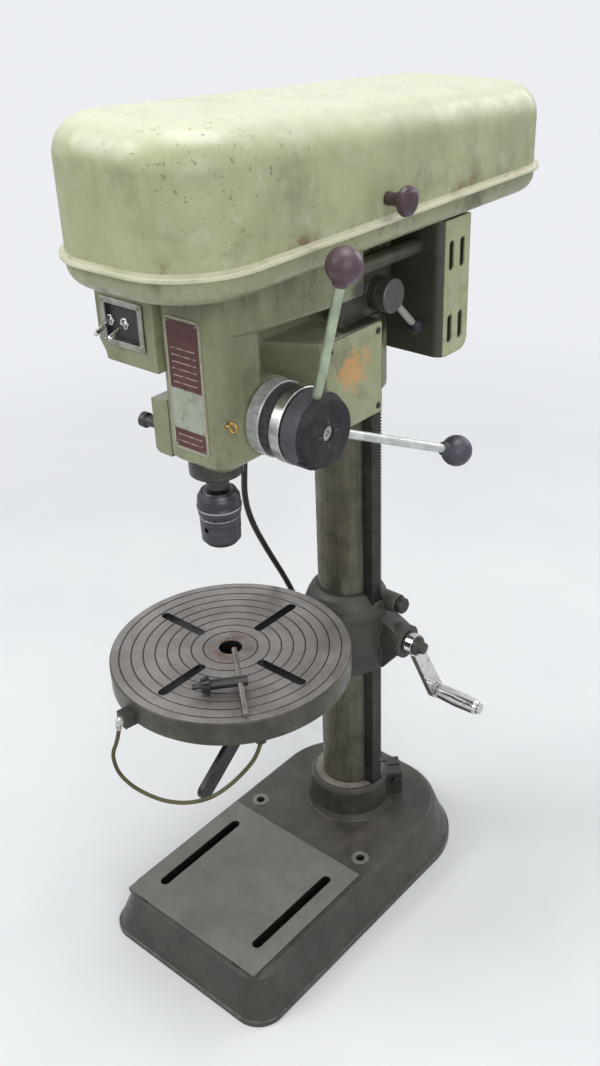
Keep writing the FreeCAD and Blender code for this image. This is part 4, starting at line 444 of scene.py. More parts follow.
def woven_cord(name, colour):
    """Braid on the cord's own UV map: u runs round, v along."""
    f = Finish(name, specular=0.25, roughness=0.85)
    u, v, _ = f.parts(f.node("ShaderNodeUVMap").outputs[0])
    braid = f.calc("MAXIMUM", *crossing(f, u, 8, v, 1500.0))
    tone = f.blend(f.range(braid, -0.2, 1.0), darker(colour, 0.45), darker(colour, 1.25))
    tone = f.blend(f.mottle((45.0, 6.0, 0.7), 0.45, 0.72, 0.0, 0.7), tone, darker(colour, 0.40))
    f.bump(braid, 0.0003)
    return f.done(tone)


def front_plate_finish(name, colours, low, high):
    """Enamelled plate: red field with plain cream rules, ribbed silver field, red field at the foot."""
    f = Finish(name, specular=0.5)
    x, _, z = f.parts()
    wide, tall = high[0] - low[0], high[2] - low[2]
    inset, soft, row_height = 0.0026, 0.0004, 0.0068
    inside = f.times(f.within(x, low[0] + inset, high[0] - inset, soft),
                     f.within(z, low[2] + inset, high[2] - inset, soft))
    silver = f.within(z, low[2] + 0.165 * tall, low[2] + 0.475 * tall, soft)
    cream = f.blend(f.noise(120.0, 5.0), (0.36, 0.34, 0.25), (0.22, 0.21, 0.15))
    red = f.blend(f.mottle((70.0, 6.0, 0.7), 0.38, 0.68), colours.plate_red, darker(colours.plate_red, 0.45))
    row = f.calc("FRACT", f.times(f.calc("SUBTRACT", z, high[2]), 1 / row_height))
    rule = f.range(f.calc("ABSOLUTE", f.calc("SUBTRACT", row, 0.5)), 0.12, 0.06)
    rule = f.times(rule, f.within(x, low[0] + 0.14 * wide, high[0] - 0.16 * wide, 0.02 * wide),
                   f.range(z, high[2] - 0.024, high[2] - 0.025),
                   f.mottle((260.0, 3.0), 0.40, 0.52, 0.15, 0.75))
    red = f.blend(rule, red, (0.42, 0.33, 0.30))
    slant = f.calc("SINE", f.times(f.calc("ADD", x, f.times(z, 0.8)), 2400.0))
    bright = f.blend(f.range(slant, -0.4, 0.6), (0.20, 0.22, 0.17), (0.42, 0.45, 0.37))
    bright = f.blend(f.mottle((90.0, 6.0, 0.7), 0.48, 0.66, 0.0, 0.7), bright, (0.17, 0.18, 0.12))
    tone = f.blend(inside, cream, f.blend(silver, red, bright))
    tone = f.blend(f.mottle((160.0, 6.0, 0.75), 0.60, 0.68, 0.0, 0.7), tone, (0.050, 0.040, 0.030))
    f.bump(f.times(inside, -1.0), 0.0004)
    f.bump(f.noise(500.0, 3.0), 0.00006)
    return f.done(tone, f.mottle((60.0, 4.0), 0.3, 0.7, 0.28, 0.48))


def bezel_finish(name, front):
    """Dull nickel frame with a pale edge; behind its front everything is black moulding."""
    f = Finish(name, metallic=0.6)
    wear, rounded = f.edges(0.0007)
    tone = f.blend(f.mottle((80.0, 6.0, 0.7), 0.38, 0.68), (0.38, 0.38, 0.33), (0.20, 0.20, 0.17))
    tone = f.blend(f.times(wear, 0.7), tone, (0.62, 0.60, 0.50))
    inside = f.range(f.parts()[1], front, front + 0.0003)
    tone = f.blend(inside, tone, f.blend(f.noise(90.0, 5.0), (0.012, 0.012, 0.014), (0.035, 0.034, 0.036)))
    f.put(f.shader.inputs["Metallic"], f.range(inside, 0.0, 1.0, 0.6, 0.0))
    f.bump(f.noise(500.0, 3.0), 0.00005, rounded)
    return f.done(tone, f.mottle((60.0, 5.0), 0.3, 0.7, 0.30, 0.52))


def reopen(material):
    """A finished material, ready for one more layer of colour."""
    f = Finish.__new__(Finish)
    f.material, f.tree, f.height = material, material.node_tree, None
    f.shader = next(n for n in f.tree.nodes if n.type == "BSDF_PRINCIPLED")
    f.place = f.node("ShaderNodeTexCoord").outputs["Object"]
    return f


def overlay(f, share, colour):
    """Lay a colour over what the material shows already."""
    below = f.shader.inputs["Base Color"].links[0].from_socket
    f.put(f.shader.inputs["Base Color"], f.blend(share, below, colour))


def distance(f, centre, stretch):
    """Distance from a centre, each way stretched by its own factor."""
    return f.length(*f.parts(f.at(stretch, tuple(-float(c) * s for c, s in zip(centre, stretch)))))


def gearbox_finish(name, colours, spot):
    """The enamel again, with an orange rub in the middle of the plate."""
    f = reopen(sage_enamel(name, colours, rust=0.45, shade=0.86))
    away = distance(f, spot, (0, 0.62, 0.85))
    ragged = f.calc("ADD", away, f.mottle((75.0, 6.0, 0.7), 0.2, 0.8, -0.012, 0.012))
    orange = f.blend(f.noise(120.0, 5.0), (0.62, 0.30, 0.09), (0.44, 0.26, 0.11))
    overlay(f, f.range(ragged, 0.021, 0.008, 0.0, 0.85), orange)
    return f.material


def head_finish(name, colours):
    """The enamel, near black round the tension boss as oil and painted shade of the recess under the housing
    wall, brown streaks where the housing meets the tray.
    """
    f = reopen(sage_enamel(name, colours, shade=0.60))
    # Near black round the tension boss, reaching under the housing wall: oil and painted shade.
    ragged = f.mottle((60.0, 5.0), 0.2, 0.8, -0.010, 0.010)
    ragged = f.calc("ADD", distance(f, TENSION_BOSS, (1.0, 0.70, 1.0)), ragged)
    overlay(f, f.range(ragged, 0.066, 0.046, 0.0, 0.92), (0.020, 0.018, 0.014))
    streak = f.range(f.noise(1.0, 6.0, 0.7, f.at((60, 60, 12))), 0.42, 0.62)
    below = f.times(f.range(f.parts()[2], TRAY_LOW - 0.060, TRAY_LOW - 0.004), streak)
    overlay(f, f.times(below, 0.55), (0.060, 0.046, 0.020))
    return f.material


def channel_finish(name, colours):
    """The enamel on the flanges; the web between them is painted shade, near black."""
    f = reopen(sage_enamel(name, colours, rust=0.4, shade=0.95))
    x, y, _ = f.parts()
    # Painted shade: the web between the flanges is darkened to near black.
    inside = f.times(f.range(f.calc("ABSOLUTE", x), CHANNEL_HALF, CHANNEL_HALF - 0.001),
                     f.range(y, CHANNEL_FRONT, CHANNEL_FRONT - 0.002))
    web_shade = f.blend(f.noise(40.0, 5.0), (0.012, 0.012, 0.011), (0.040, 0.038, 0.030))
    overlay(f, f.times(inside, 0.95), web_shade)
    return f.material


def base_finish(name, colours):
    """Dark enamel, rubbed to grey iron on the pad, spot faces and socket rim, with painted shade, near black,
    on the slot walls.
    """
    f = reopen(dark_enamel(name, colours.iron, 0.18, gloss=0.14))
    x, y, z = f.parts()
    aside = f.calc("ABSOLUTE", x)
    pad = f.times(f.range(z, BASE_PAD_LOW, BASE_PAD_LOW + 0.0006),
                  f.range(aside, BASE_PAD_HALF, BASE_PAD_HALF - 0.001),
                  f.range(y, BASE_PAD_REAR, BASE_PAD_REAR - 0.005))
    grey = f.blend(f.mottle((22.0, 7.0, 0.7), 0.35, 0.70), (0.158, 0.150, 0.132), (0.122, 0.115, 0.098))
    overlay(f, pad, grey)
    # Painted shade: the upright walls of the slots are darkened to near black.
    slots = f.range(f.calc("ABSOLUTE", f.calc("SUBTRACT", aside, BASE_SLOT_X)),
                    BASE_SLOT_HALF + 0.0004, BASE_SLOT_HALF)
    upright = f.range(f.calc("ABSOLUTE", f.facing_up()), 0.35, 0.20)
    slots = f.times(slots, f.range(z, BASE_SLOT_LOW, BASE_SLOT_LOW + 0.001), upright,
                    f.range(y, BASE_SLOT_REAR, BASE_SLOT_REAR - 0.005))
    overlay(f, slots, (0.008, 0.008, 0.007))
    for side in (-1, 1):
        near = distance(f, (side * BASE_BOLT[0], BASE_BOLT[1], 0), (1, 1, 0))
        spot = f.times(f.range(near, BASE_SPOT_RADIUS, BASE_SPOT_RADIUS - 0.0004),
                       f.range(z, BASE_TOP, BASE_TOP + 0.0003))
        overlay(f, f.times(spot, f.mottle((50.0, 5.0), 0.3, 0.6, 0.5, 1.0)), (0.170, 0.160, 0.138))
    rim = f.times(f.range(z, SOCKET_TOP, SOCKET_TOP + 0.0014),
                  f.range(distance(f, (0, 0, 0), (1, 1, 0)), SOCKET_RADIUS, SOCKET_RADIUS - 0.003))
    overlay(f, f.times(rim, f.mottle((40.0, 5.0), 0.3, 0.6, 0.5, 1.0)), (0.240, 0.220, 0.180))
    return f.material


def hub_finish(name, colours, end):
    """Moulded hub: paler barrel as a painted reflection, dark turned end with four centre strokes."""
    f = reopen(moulding(name, colours.hub, 0.46, 0.40))
    f.shader.inputs["Specular IOR Level"].default_value = 0.22
    x, y, z = f.parts(f.at(move=(0, -float(FEED_AT[1]), -float(FEED_AT[2]))))
    # The dark tone goes on the end face alone; the barrel's paler tone is a painted reflection.
    face = f.range(x, end - 0.0096, end - 0.0086)
    turned = f.blend(f.mottle((60.0, 6.0, 0.7), 0.36, 0.68), (0.016, 0.015, 0.017), (0.034, 0.031, 0.034))
    overlay(f, face, turned)
    radius = f.length(y, z)
    thin = f.range(f.calc("MINIMUM", f.calc("ABSOLUTE", y), f.calc("ABSOLUTE", z)), 0.0009, 0.0006)
    stroke = f.times(thin, f.within(radius, 0.0095, 0.0150, 0.0005))
    overlay(f, f.times(stroke, face, 0.7), (0.120, 0.110, 0.100))
    return f.material


def handle_finish(name, maker, upper, lower, height):
    """One finish in two tones, the upper handle's and the lower handle's."""
    f = reopen(maker(name, lower))
    above = f.range(f.parts()[2], height, height + 0.002)
    overlay(f, above, f.blend(f.mottle((38.0, 6.0, 0.65), 0.35, 0.70), upper, darker(upper, 1.5)))
    return f.material


# ---- surfaces ----
def finish_mesh(name, mesh, material, body, smooth):
    """Merge doubles, turn the faces out, smooth all but the sharp edges, and let it ride on its body."""
    work = bmesh.new()
    work.from_mesh(mesh)
    bmesh.ops.remove_doubles(work, verts=work.verts, dist=1e-6)
    bmesh.ops.recalc_face_normals(work, faces=work.faces)
    work.to_mesh(mesh)
    work.free()
    mesh.polygons.foreach_set("use_smooth", [True] * len(mesh.polygons))
    mesh.set_sharp_from_angle(angle=math.radians(smooth))
    mesh.materials.append(material)
    piece = bpy.data.objects.new(name, mesh)
    bpy.context.scene.collection.objects.link(piece)
    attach(piece, body)
    return piece


def grid(name, points, material, body, close_u=False, close_v=False, smooth=40.0):
    """Quads over points[u, v]; a closed direction joins its last row to its first."""
    nu, nv = points.shape[:2]
    u = np.arange(nu if close_u else nu - 1)[:, None]
    v = np.arange(nv if close_v else nv - 1)[None, :]
    next_u, next_v = (u + 1) % nu, (v + 1) % nv
    quads = np.stack([u * nv + v, next_u * nv + v, next_u * nv + next_v, u * nv + next_v], -1).reshape(-1, 4)
    mesh = bpy.data.meshes.new(name)
    mesh.from_pydata(points.reshape(-1, 3).tolist(), [], quads.tolist())
    return finish_mesh(name, mesh, material, body, smooth)


def lathe(name, profile, centre, material, body, turns):
    """Profile of (radius, along) turned about a line along Y: radius times sine and cosine of the turn."""
    profile = np.array(profile, float)
    a = np.linspace(0, 2 * math.pi, turns, endpoint=False)[:, None]
    r, s = profile[None, :, 0], profile[None, :, 1] + 0 * a
    points = np.stack((r * np.sin(a), s, r * np.cos(a)), -1) + np.array(centre, float)
    return grid(name, points, material, body, close_u=True)


def slotted_screw(name, centre, direction, radius, material, body, tilt):
    """Domed head: height falls with the square of the radius, and a slot is pressed across it."""
    a = np.linspace(0, 2 * math.pi, 40, endpoint=False)[:, None]
    r = np.concatenate([np.linspace(0, 0.92, 12), [0.98, 1.0, 1.0]])[None, :] * radius
    rise = 0.45 * radius * (1 - (r / radius) ** 2) + 0.18 * radius
    rise[:, -1] = 0.0
    x, y = r * np.cos(a), r * np.sin(a)
    across = -x * math.sin(tilt) + y * math.cos(tilt)
    depth = 0.36 * radius / (1 + (np.abs(across) / (0.14 * radius)) ** 8)
    height = np.maximum(rise + 0 * a - depth * (r < 0.97 * radius), 0.0)
    flat = {"X": (height, x, y), "Y": (x, -height, y)}[direction]
    points = np.stack([c + 0 * a for c in flat], -1) + np.array(centre, float)
    return grid(name, points, material, body, close_u=True, smooth=50.0)


def hexagon(name, centre, across, thick, bore, material, body):
    """Nut along Y: a hexagon's radius is half its width over the cosine of the turn from its nearest flat."""
    a = np.linspace(0, 2 * math.pi, 72, endpoint=False)
    flat = across / 2 / np.cos((a + math.pi / 6) % (math.pi / 3) - math.pi / 6)
    chamfered = np.minimum(flat, across * 0.52)
    rows = [(bore + 0 * a, 0.0), (chamfered, 0.0), (flat, 0.12 * thick), (flat, 0.88 * thick),
            (chamfered, thick), (bore + 0 * a, thick)]
    points = np.stack([np.stack((r * np.sin(a), s + 0 * a, r * np.cos(a)), -1) for r, s in rows], 1)
    return grid(name, points + np.array(centre, float), material, body, True, True, smooth=28.0)


def give(material, *nodes):
    """Put a finish on CAD nodes as they are."""
    for name in nodes:
        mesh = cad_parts[name].data
        mesh.materials.clear()
        mesh.materials.append(material)


def spline_curve(name, points):
    """One spline of the third order, steered by the points, that starts on the first and ends on the last."""
    curve = bpy.data.curves.new(name, "CURVE")
    curve.dimensions = "3D"
    curve.resolution_u = 10
    spline = curve.splines.new("NURBS")
    spline.points.add(len(points) - 1)
    spline.points.foreach_set("co", np.column_stack([points, np.ones(len(points))]).ravel())
    spline.order_u = 3
    spline.use_endpoint_u = True
    return curve


def cord_curve(name, points, diameter, material, body):
    """Smooth cord: a round section follows the points' spline."""
    curve = spline_curve(name, points)
    curve.bevel_depth = diameter / 2
    curve.bevel_resolution = 5
    curve.use_fill_caps = True
    curve.materials.append(material)
    piece = bpy.data.objects.new(name, curve)
    bpy.context.scene.collection.objects.link(piece)
    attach(piece, body)
    return piece


def centre_line(route):
    """Places along the route's spline, without its section."""
    bare = bpy.data.objects.new("route", spline_curve("route", route))
    return np.array([v.co for v in bpy.data.meshes.new_from_object(bare).vertices])


def corners(low, high, ways, insets):
    """Four places near a box's corners: ways are the two axes, insets the distances from the edges."""
    (i, k), (m, n) = ways, insets
    return [(a, b) for a in (low[i] + m, high[i] - m) for b in (low[k] + n, high[k] - n)]


def settings():
    return bpy.context.scene.drill_colours, bpy.context.scene.drill_sizes


# ---- stage ----
CAMERA_PLACE = (0.7452, -0.9197, 1.1443)
# In degrees: about the upright, below level, about its own axis.
CAMERA_TURN, CAMERA_FALL, CAMERA_ROLL = 41.67, 29.62, -2.27
LAMPS = (
    # name, place, target, width in metres, power in watts
    ("key", (-1.3, -1.5, 2.3), (0.0, -0.1, 0.75), 1.5, 38.0),
    ("fill", (1.9, -1.2, 1.5), (0.0, -0.1, 0.55), 1.8, 22.0),
    ("top", (0.2, 0.1, 2.6), (0.0, -0.05, 0.8), 1.6, 30.0),
    ("back", (0.6, 2.2, 1.7), (0.0, 0.0, 0.7), 1.4, 14.0),
)
FLOOR_HALF, FLOOR_FADE_FROM, FLOOR_FADE_TO = 9.0, 0.55, 2.2


class DRILL_OT_stage(bpy.types.Operator):
    """Add the camera, the lamps, the pale world and the floor"""
    bl_idname = "drill.stage"
    bl_label = "Studio"

    def execute(self, context):
        scene = context.scene
        camera = bpy.data.cameras.new("camera")
        camera.lens = settings()[1].lens
        camera.clip_end = 60.0
        view = bpy.data.objects.new("camera", camera)
        turn, fall, roll = (math.radians(a) for a in (CAMERA_TURN, 90 - CAMERA_FALL, CAMERA_ROLL))
        view.matrix_world = (Matrix.Translation(CAMERA_PLACE) @ Matrix.Rotation(turn, 4, "Z")
                             @ Matrix.Rotation(fall, 4, "X") @ Matrix.Rotation(roll, 4, "Z"))
        scene.collection.objects.link(view)
        scene.camera = view
        scene.view_settings.view_transform = "Standard"
        for lamp in LAMPS:
            self.lamp(*lamp)
        self.world(scene)
        self.floor(scene)
        return {"FINISHED"}

    def lamp(self, name, place, target, size, power):
        """A round lamp that looks at its target."""
        data = bpy.data.lights.new(name, "AREA")
        data.shape = "DISK"
        data.size = size
        data.energy = power
        lamp = bpy.data.objects.new(name, data)
        lamp.location = place
        aim = np.array(target) - np.array(place)
        side = np.hypot(aim[0], aim[1])
        lamp.rotation_euler = (math.atan2(side, -aim[2]), 0.0, math.atan2(aim[1], aim[0]) - math.pi / 2)
        bpy.context.scene.collection.objects.link(lamp)

    def world(self, scene):
        """One tone for what the camera and reflections see, another for the light."""
        world = bpy.data.worlds.new("studio")
        world.use_nodes = True
        tree = world.node_tree
        tree.nodes.clear()
        add, link = tree.nodes.new, tree.links.new
        out, mix = add("ShaderNodeOutputWorld"), add("ShaderNodeMixShader")
        rays, either = add("ShaderNodeLightPath"), add("ShaderNodeMath")
        light, seen = add("ShaderNodeBackground"), add("ShaderNodeBackground")
        for shade, colour, strength in ((seen, BACKGROUND, 1.0), (light, (0.93, 0.96, 1.0), 0.50)):
            shade.inputs[0].default_value = (*colour, 1)
            shade.inputs[1].default_value = strength
        either.operation = "MAXIMUM"
        link(rays.outputs["Is Camera Ray"], either.inputs[0])
        link(rays.outputs["Is Glossy Ray"], either.inputs[1])
        for n, source in enumerate((either, light, seen)):
            link(source.outputs[0], mix.inputs[n])
        link(mix.outputs[0], out.inputs[0])
        scene.world = world

    def floor(self, scene):
        """A wide sheet that fades into the background away from the machine, for the camera alone."""
        mesh = bpy.data.meshes.new("floor")
        s = FLOOR_HALF
        mesh.from_pydata([(-s, -s, 0), (s, -s, 0), (s, s, 0), (-s, s, 0)], [], [(0, 1, 2, 3)])
        f = Finish("pale_floor", roughness=0.75, specular=0.2)
        material = f.done(f.blend(f.mottle((3.0, 5.0), 0.3, 0.7), (0.68, 0.69, 0.69), (0.64, 0.65, 0.655)))
        away = f.length(*f.parts()[:2])
        seen = f.times(f.range(away, FLOOR_FADE_FROM, FLOOR_FADE_TO),
                       f.node("ShaderNodeLightPath").outputs["Is Camera Ray"])
        glow = f.node("ShaderNodeEmission")
        f.put(glow.inputs["Color"], BACKGROUND)
        mix = f.node("ShaderNodeMixShader")
        f.put(mix.inputs[0], seen)
        f.put(mix.inputs[1], f.shader.outputs[0])
        f.put(mix.inputs[2], glow.outputs[0])
        f.put(next(n for n in f.tree.nodes if n.type == "OUTPUT_MATERIAL").inputs[0], mix.outputs[0])
        mesh.materials.append(material)
        piece = bpy.data.objects.new("floor", mesh)
        scene.collection.objects.link(piece)


# ---- cords ----
# Routes are in millimetres here and steer the same curves as the solids.
LEAD_ROUTE = np.array([(-37, -124, 634), (-39, -125, 600), (-46, -122, 556), (-54, -104, 512),
                       (-60, -72, 455), (-66, -34, 392), (-74, 0, 324), (-88, 30, 254), (-110, 54, 186),
                       (-140, 74, 122), (-174, 92, 68), (-206, 110, 30), (-238, 124, 10),
                       (-268, 130, 4)]) * MM
# The coil's corners: angle in degrees, radius and height; the end crosses over the top.
COIL_CORNERS = np.array([(78.7, 49.4, 4.0), (150, 49.4, 3.7), (195, 42, 3.6), (510, 42, 3.6), (555, 35, 3.6),
                         (825, 35, 3.6), (892, 35, 10.6), (1162, 35, 10.6), (1207, 42, 10.6),
                         (1522, 42, 10.6), (1567, 42, 17.2), (1588, 42, 17.2)])
COIL_STEP = 22.5
# From the coil's end to the plug, about the coil's middle.
COIL_TAIL = np.array([(-41, 13, 16.6), (-47, 3.5, 14.6), (-53, -6, 11), (-58, -14, 9.4),
                      (-59.5, -16.5, 9.2)]) * MM
TABLE_R, TABLE_AXIS_Y, TABLE_FACE = 133, -205, 418
# The tether's corners: angle round the table's axis, reach beyond its rim, drop below its face.
TETHER_TURNS = [(-100, 15, 35), (-101.5, 17, 52), (-105.2, 19.3, 71), (-108.2, 17.5, 90), (-106.5, 15.1, 107),
                (-98.9, 9.7, 115), (-88.4, 6.1, 115), (-78, 7, 110), (-67.6, 8.7, 102), (-58, 8.5, 92),
                (-50, 5.4, 79), (-42.1, -0.2, 64), (-35.2, -4.5, 48), (-33.2, -6.5, 33)]
TETHER_ROUTE = np.array([((TABLE_R + reach) * math.cos(math.radians(angle)),
                          TABLE_AXIS_Y + (TABLE_R + reach) * math.sin(math.radians(angle)),
                          TABLE_FACE - drop) for angle, reach, drop in TETHER_TURNS]) * MM


class DRILL_OT_lead(bpy.types.Operator):
    """Hang the mains lead from its gland and wind the rest into a coil on the bench"""
    bl_idname = "drill.lead"
    bl_label = "Mains lead"

    def execute(self, context):
        d = settings()[1].lead_diameter
        black = rubber("lead_vinyl", (0.012, 0.012, 0.013), 0.45)
        coil = middle("lead_coil")
        turns, radii, heights = COIL_CORNERS.T
        turn = np.append(np.arange(turns[0] + COIL_STEP, turns[-1] - 15, COIL_STEP), turns[-1])
        radius, height = np.interp(turn, turns, radii) * MM, np.interp(turn, turns, heights) * MM
        turn = np.radians(turn)
        ring = np.column_stack([coil[0] + radius * np.cos(turn), coil[1] + radius * np.sin(turn), height])
        route = np.vstack([LEAD_ROUTE, ring, COIL_TAIL + (coil[0], coil[1], 0)])
        lead = cord_curve("mains_lead", route, d, black, "frame")
        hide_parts("power_lead", "lead_coil")
        give(moulding("plug_black", (0.014, 0.014, 0.015), 0.45), "power_plug")
        give(rubber("gland_rubber", (0.014, 0.013, 0.013)), "lead_gland")
        line = centre_line(route)
        return {"FINISHED"}


class DRILL_OT_tether(bpy.types.Operator):
    """Hang the key's woven cord under the table rim"""
    bl_idname = "drill.tether"
    bl_label = "Tether cord"

    def execute(self, context):
        """Rings about the centre line: radius times (side times cosine plus up times sine) of the turn."""
        colours, sizes = settings()
        d = sizes.tether_diameter
        line = centre_line(TETHER_ROUTE)
        along = np.vstack([line[1] - line[0], line[2:] - line[:-2], line[-1] - line[-2]])
        along /= np.linalg.norm(along, axis=1)[:, None]
        side = np.cross(along, (0, 0, 1.0))
        side /= np.linalg.norm(side, axis=1)[:, None] + 1e-9
        up = np.cross(side, along)
        a = np.linspace(0, 2 * math.pi, 16, endpoint=False)
        ring = side[:, None] * np.cos(a)[None, :, None] + up[:, None] * np.sin(a)[None, :, None]
        woven = woven_cord("tether_braid", colours.tether)
        piece = grid("tether_braid", line[:, None] + ring * d / 2, woven, "table", close_v=True)
        self.unroll(piece.data, line, side, up)
        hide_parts("tether_cord")
        return {"FINISHED"}

    def unroll(self, mesh, line, side, up):
        """UV map: u is the turn about the centre line, v the length run along it."""
        run = np.concatenate([[0], np.cumsum(np.linalg.norm(np.diff(line, axis=0), axis=1))])
        uv = mesh.uv_layers.new(name="UVMap")
        corner = np.array([loop.vertex_index for loop in mesh.loops])
        where = np.array([v.co for v in mesh.vertices])
        near = np.argmin(np.linalg.norm(where[:, None] - line[None], axis=2), axis=1)
        off = where - line[near]
        angle = np.arctan2((off * up[near]).sum(1), (off * side[near]).sum(1)) / (2 * math.pi)
        uv.data.foreach_set("uv", np.column_stack([angle[corner], run[near][corner]]).ravel())


# ---- finishes on the model's own nodes ----
class DRILL_OT_painted(bpy.types.Operator):
    """Paint the head, gearbox cover, tray, belt cover, motor and its bracket"""
    bl_idname = "drill.painted"
    bl_label = "Painted castings"

    def execute(self, context):
        colours, _ = settings()
        give(head_finish("head_enamel", colours), "head_casting")
        give(sage_enamel("tray_enamel", colours, rust=0.55, shade=0.76, grime_and_shade_level=1.25), "belt_tray")
        give(sage_enamel("cover_enamel", colours, rust=0.22, rim=TRAY_RIM, dents=0.0010, specks=0.55,
                         grime_and_shade_level=0.6), "belt_cover")
        give(channel_finish("bracket_enamel", colours), "motor_bracket")
        give(gearbox_finish("gearbox_enamel", colours, middle("gearbox_cover") + (0, 0, 0.009)),
             "gearbox_cover")
        give(dark_enamel("motor_grey", (0.040, 0.041, 0.040), 0.3), "motor_body", "return_spring_cap")
        return {"FINISHED"}


class DRILL_OT_iron(bpy.types.Operator):
    """Finish the base, table bracket, table and column"""
    bl_idname = "drill.iron"
    bl_label = "Iron and column"

    def execute(self, context):
        colours, _ = settings()
        give(base_finish("base_enamel", colours), "base")
        give(dark_enamel("bracket_iron", darker(colours.iron, 1.1), 0.20), "table_bracket")
        give(turned_face("table_face", colours.table, (0.0, SPINDLE_Y), 0.016), "table")
        give(worked_steel("column_steel", colours.column, (14, 14, 1.2), 0.55, 0.40, 0.55), "column")
        return {"FINISHED"}


STEELS = (
    # material, colour, grain, dirt, roughness, metallic, nodes
    ("oiled_steel", (0.075, 0.074, 0.066), (1, 1, 30), 0.5, 0.32, 0.85,
     ("quill", "quill_collar", "lift_pinion", "return_spring")),
    ("screw_steel", (0.070, 0.065, 0.058), (1, 1, 1), 0.5, 0.42, 0.8,
     ("base_clamp_screw", "head_clamp_screws", "bracket_lock_screw", "crank_nut")),
    ("lever_black", (0.026, 0.026, 0.027), (1, 1, 1), 0.5, 0.36, 0.5, ("table_clamp_lever",)),
    ("bright_steel", (0.46, 0.46, 0.44), (1, 1, 20), 0.35, 0.30, 0.95,
     ("feed_shaft", "chuck_jaw_1", "chuck_jaw_2", "chuck_jaw_3", "drive_sleeve", "motor_shaft",
      "quill_bearings", "drive_bearings", "cover_hinge_pins", "tether_screw", "dial_lock_ring")),
    ("key_bar_steel", (0.26, 0.24, 0.21), (1, 1, 1), 0.6, 0.40, 0.9, ("chuck_key_bar",)),
    ("key_steel", (0.060, 0.057, 0.055), (1, 1, 1), 0.6, 0.40, 0.85, ("chuck_key",)),
    ("rod_steel", (0.100, 0.094, 0.072), (30, 1, 30), 0.6, 0.45, 0.6, ("slide_rods",)),
    ("rack_steel", (0.040, 0.037, 0.032), (1, 1, 8), 0.6, 0.45, 0.7, ("rack",)),
    ("pulley_metal", (0.42, 0.42, 0.41), (1, 1, 30), 0.4, 0.38, 0.9, ("spindle_pulley", "motor_pulley")),
    ("brass_screw", (0.42, 0.27, 0.09), (1, 1, 1), 0.4, 0.34, 0.95, ("dial_pointer",)),
)


class DRILL_OT_steel(bpy.types.Operator):
    """Finish the spindle, chuck, rack, screws, key, pulleys, belt and slide rods"""
    bl_idname = "drill.steel"
    bl_label = "Bare steel"

    def execute(self, context):
        for name, colour, grain, dirt, roughness, metallic, nodes in STEELS:
            give(worked_steel(name, colour, grain, dirt, roughness, metallic), *nodes)
        give(chuck_finish("chuck_steel", (0.066, 0.069, 0.076)), "chuck_body", "chuck_sleeve")
        neck = reopen(worked_steel("spindle_steel", (0.42, 0.42, 0.40), (1, 1, 20), 0.35, 0.30, 0.9))
        overlay(neck, neck.range(neck.parts()[2], *SPINDLE_NECK), (0.060, 0.062, 0.066))
        give(neck.material, "spindle")
        give(self.tension(), "tension_lever")
        give(rubber("belt_rubber", (0.018, 0.017, 0.016), 0.7), "v_belt")
        return {"FINISHED"}

    def tension(self):
        """Grey cam face, pale lever, dark ball at the lever's low end."""
        f = reopen(worked_steel("tension_steel", (0.12, 0.115, 0.105), (1, 1, 1), 0.5, 0.46, 0.6))
        x, y, rise = TENSION_BALL
        ball = distance(f, (x, y, float(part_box("tension_lever")[0][2]) + rise), (1, 1, 1))
        overlay(f, f.range(ball, 0.0105, 0.0095), (0.030, 0.030, 0.038))
        from_boss = distance(f, TENSION_BOSS, (0, 1, 1))
        lever = f.times(f.range(from_boss, 0.0183, 0.0187), f.range(ball, 0.0095, 0.0105))
        overlay(f, lever, (0.34, 0.34, 0.30))
        return f.material


class DRILL_OT_feed(bpy.types.Operator):
    """Finish the hub, dial, handles, knobs, crank and toggles"""
    bl_idname = "drill.feed"
    bl_label = "Hub, dial and handles"

    def execute(self, context):
        colours, _ = settings()
        give(hub_finish("hub_black", colours, float(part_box("feed_hub")[1][0])), "feed_hub")
        give(moulding("lock_black", (0.022, 0.021, 0.022), 0.42, 0.4), "quill_lock_screw")
        give(dial_steel("dial_steel", FEED_AT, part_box("depth_dial")[0][0] + DIAL_FACE_WIDTH), "depth_dial")
        axis = float(FEED_AT[2])
        give(handle_finish("spoke_steel", spoke_steel, (0.300, 0.350, 0.250), (0.56, 0.58, 0.57), axis),
             "feed_spokes")
        give(handle_finish("ball_slate", moulding, colours.plum, colours.slate, axis), "feed_balls")
        give(moulding("knob_plum", darker(colours.plum, 0.65), 0.30, 0.3), "cover_knob")
        give(chromed("crank_chrome"), "crank_arm", "crank_grip", "toggle_left", "toggle_right")
        return {"FINISHED"}


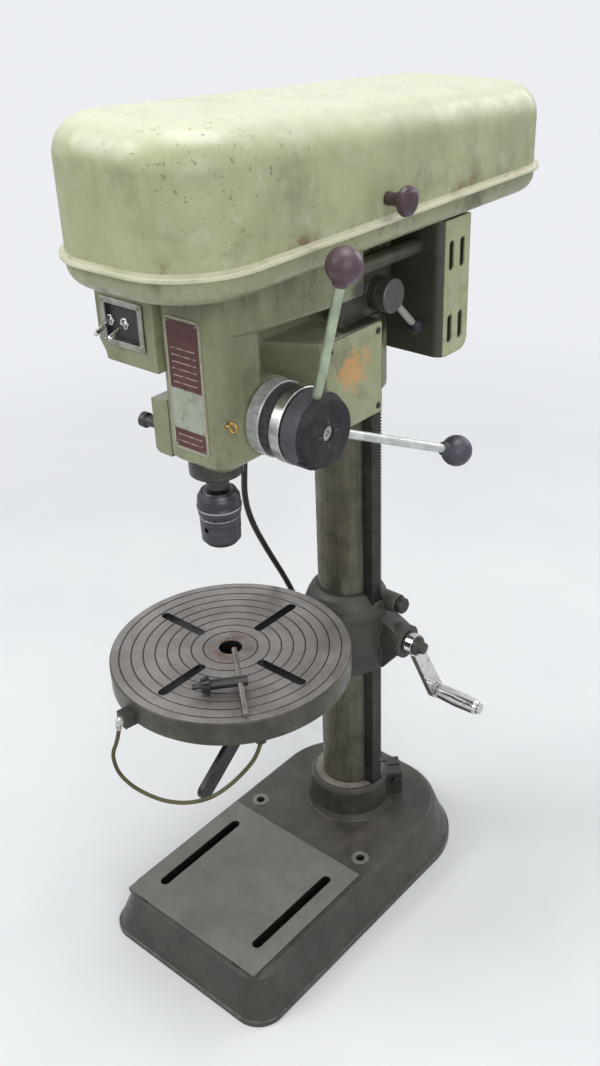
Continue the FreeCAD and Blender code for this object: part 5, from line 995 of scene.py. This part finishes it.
# ---- added pieces ----
class DRILL_OT_front(bpy.types.Operator):
    """Finish the front plate and the switch, and add their rivets, nuts and screws"""
    bl_idname = "drill.front"
    bl_label = "Front plate and switch"

    def execute(self, context):
        colours, _ = settings()
        low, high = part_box("nameplate")
        give(front_plate_finish("front_plate_enamel", colours, low, high), "nameplate")
        rivet = worked_steel("rivet_steel", (0.25, 0.24, 0.20), (1, 1, 1), 0.5, 0.4, 0.9)
        dome = [(0, -0.0010), (0.0008, -0.0009), (0.0014, -0.0005), (0.0016, 0), (0, 0)]
        for n, (x, z) in enumerate(corners(low, high, (0, 2), (0.0045, 0.0045))):
            lathe(f"plate_rivet_{n}", dome, (x, low[1], z), rivet, "frame", 20)
        low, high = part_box("switch_box")
        front = low[1]
        give(bezel_finish("bezel_metal", front + 0.0012), "switch_box")
        chrome = chromed("switch_chrome")
        for side in ("left", "right"):
            place = (float(middle("toggle_" + side)[0]), front + 0.0022, (low[2] + high[2]) / 2)
            hexagon(f"toggle_nut_{side}", place, 0.0105, 0.0028, 0.0037, chrome, "frame")
        for n, (x, z) in enumerate(corners(low, high, (0, 2), (0.0035, 0.0035))):
            slotted_screw(f"bezel_screw_{n}", (x, front, z), "Y", 0.0021, rivet, "frame", 0.3 + n)
        return {"FINISHED"}


class DRILL_OT_screws(bpy.types.Operator):
    """Add the four screws of the gearbox cover"""
    bl_idname = "drill.screws"
    bl_label = "Cover screws"

    def execute(self, context):
        radius = settings()[1].screw_radius
        dark = worked_steel("cover_screw_steel", (0.045, 0.042, 0.036), (1, 1, 1), 0.5, 0.45, 0.8)
        low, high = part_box("gearbox_cover")
        for n, (y, z) in enumerate(corners(low, high, (1, 2), (2 * radius, 2.4 * radius))):
            slotted_screw(f"gearbox_screw_{n}", (high[0], y, z), "X", radius, dark, "frame", 0.5 + 1.3 * n)
        return {"FINISHED"}


# ---- panel and running ----
OPERATORS = (DRILL_OT_stage, DRILL_OT_lead, DRILL_OT_tether, DRILL_OT_painted, DRILL_OT_iron, DRILL_OT_steel,
             DRILL_OT_feed, DRILL_OT_front, DRILL_OT_screws)


class DRILL_PT_panel(bpy.types.Panel):
    """Buttons for the pieces, in the order they are made"""
    bl_idname = "DRILL_PT_panel"
    bl_label = "Bench pillar drill"
    bl_space_type = "VIEW_3D"
    bl_region_type = "UI"
    bl_category = "Drill"

    def draw(self, context):
        for group in (context.scene.drill_colours, context.scene.drill_sizes):
            box = self.layout.box()
            for key in group.__annotations__:
                box.prop(group, key)
        for operator in OPERATORS:
            self.layout.operator(operator.bl_idname)


CLASSES = (DrillColours, DrillSizes, *OPERATORS, DRILL_PT_panel)


def register():
    for each in CLASSES:
        bpy.utils.register_class(each)
    bpy.types.Scene.drill_colours = PointerProperty(type=DrillColours)
    bpy.types.Scene.drill_sizes = PointerProperty(type=DrillSizes)


def unregister():
    del bpy.types.Scene.drill_sizes
    del bpy.types.Scene.drill_colours
    for each in reversed(CLASSES):
        bpy.utils.unregister_class(each)


def main():
    register()
    for operator in OPERATORS:
        group, name = operator.bl_idname.split(".")
        getattr(getattr(bpy.ops, group), name)()


if __name__ == "__main__":
    main()
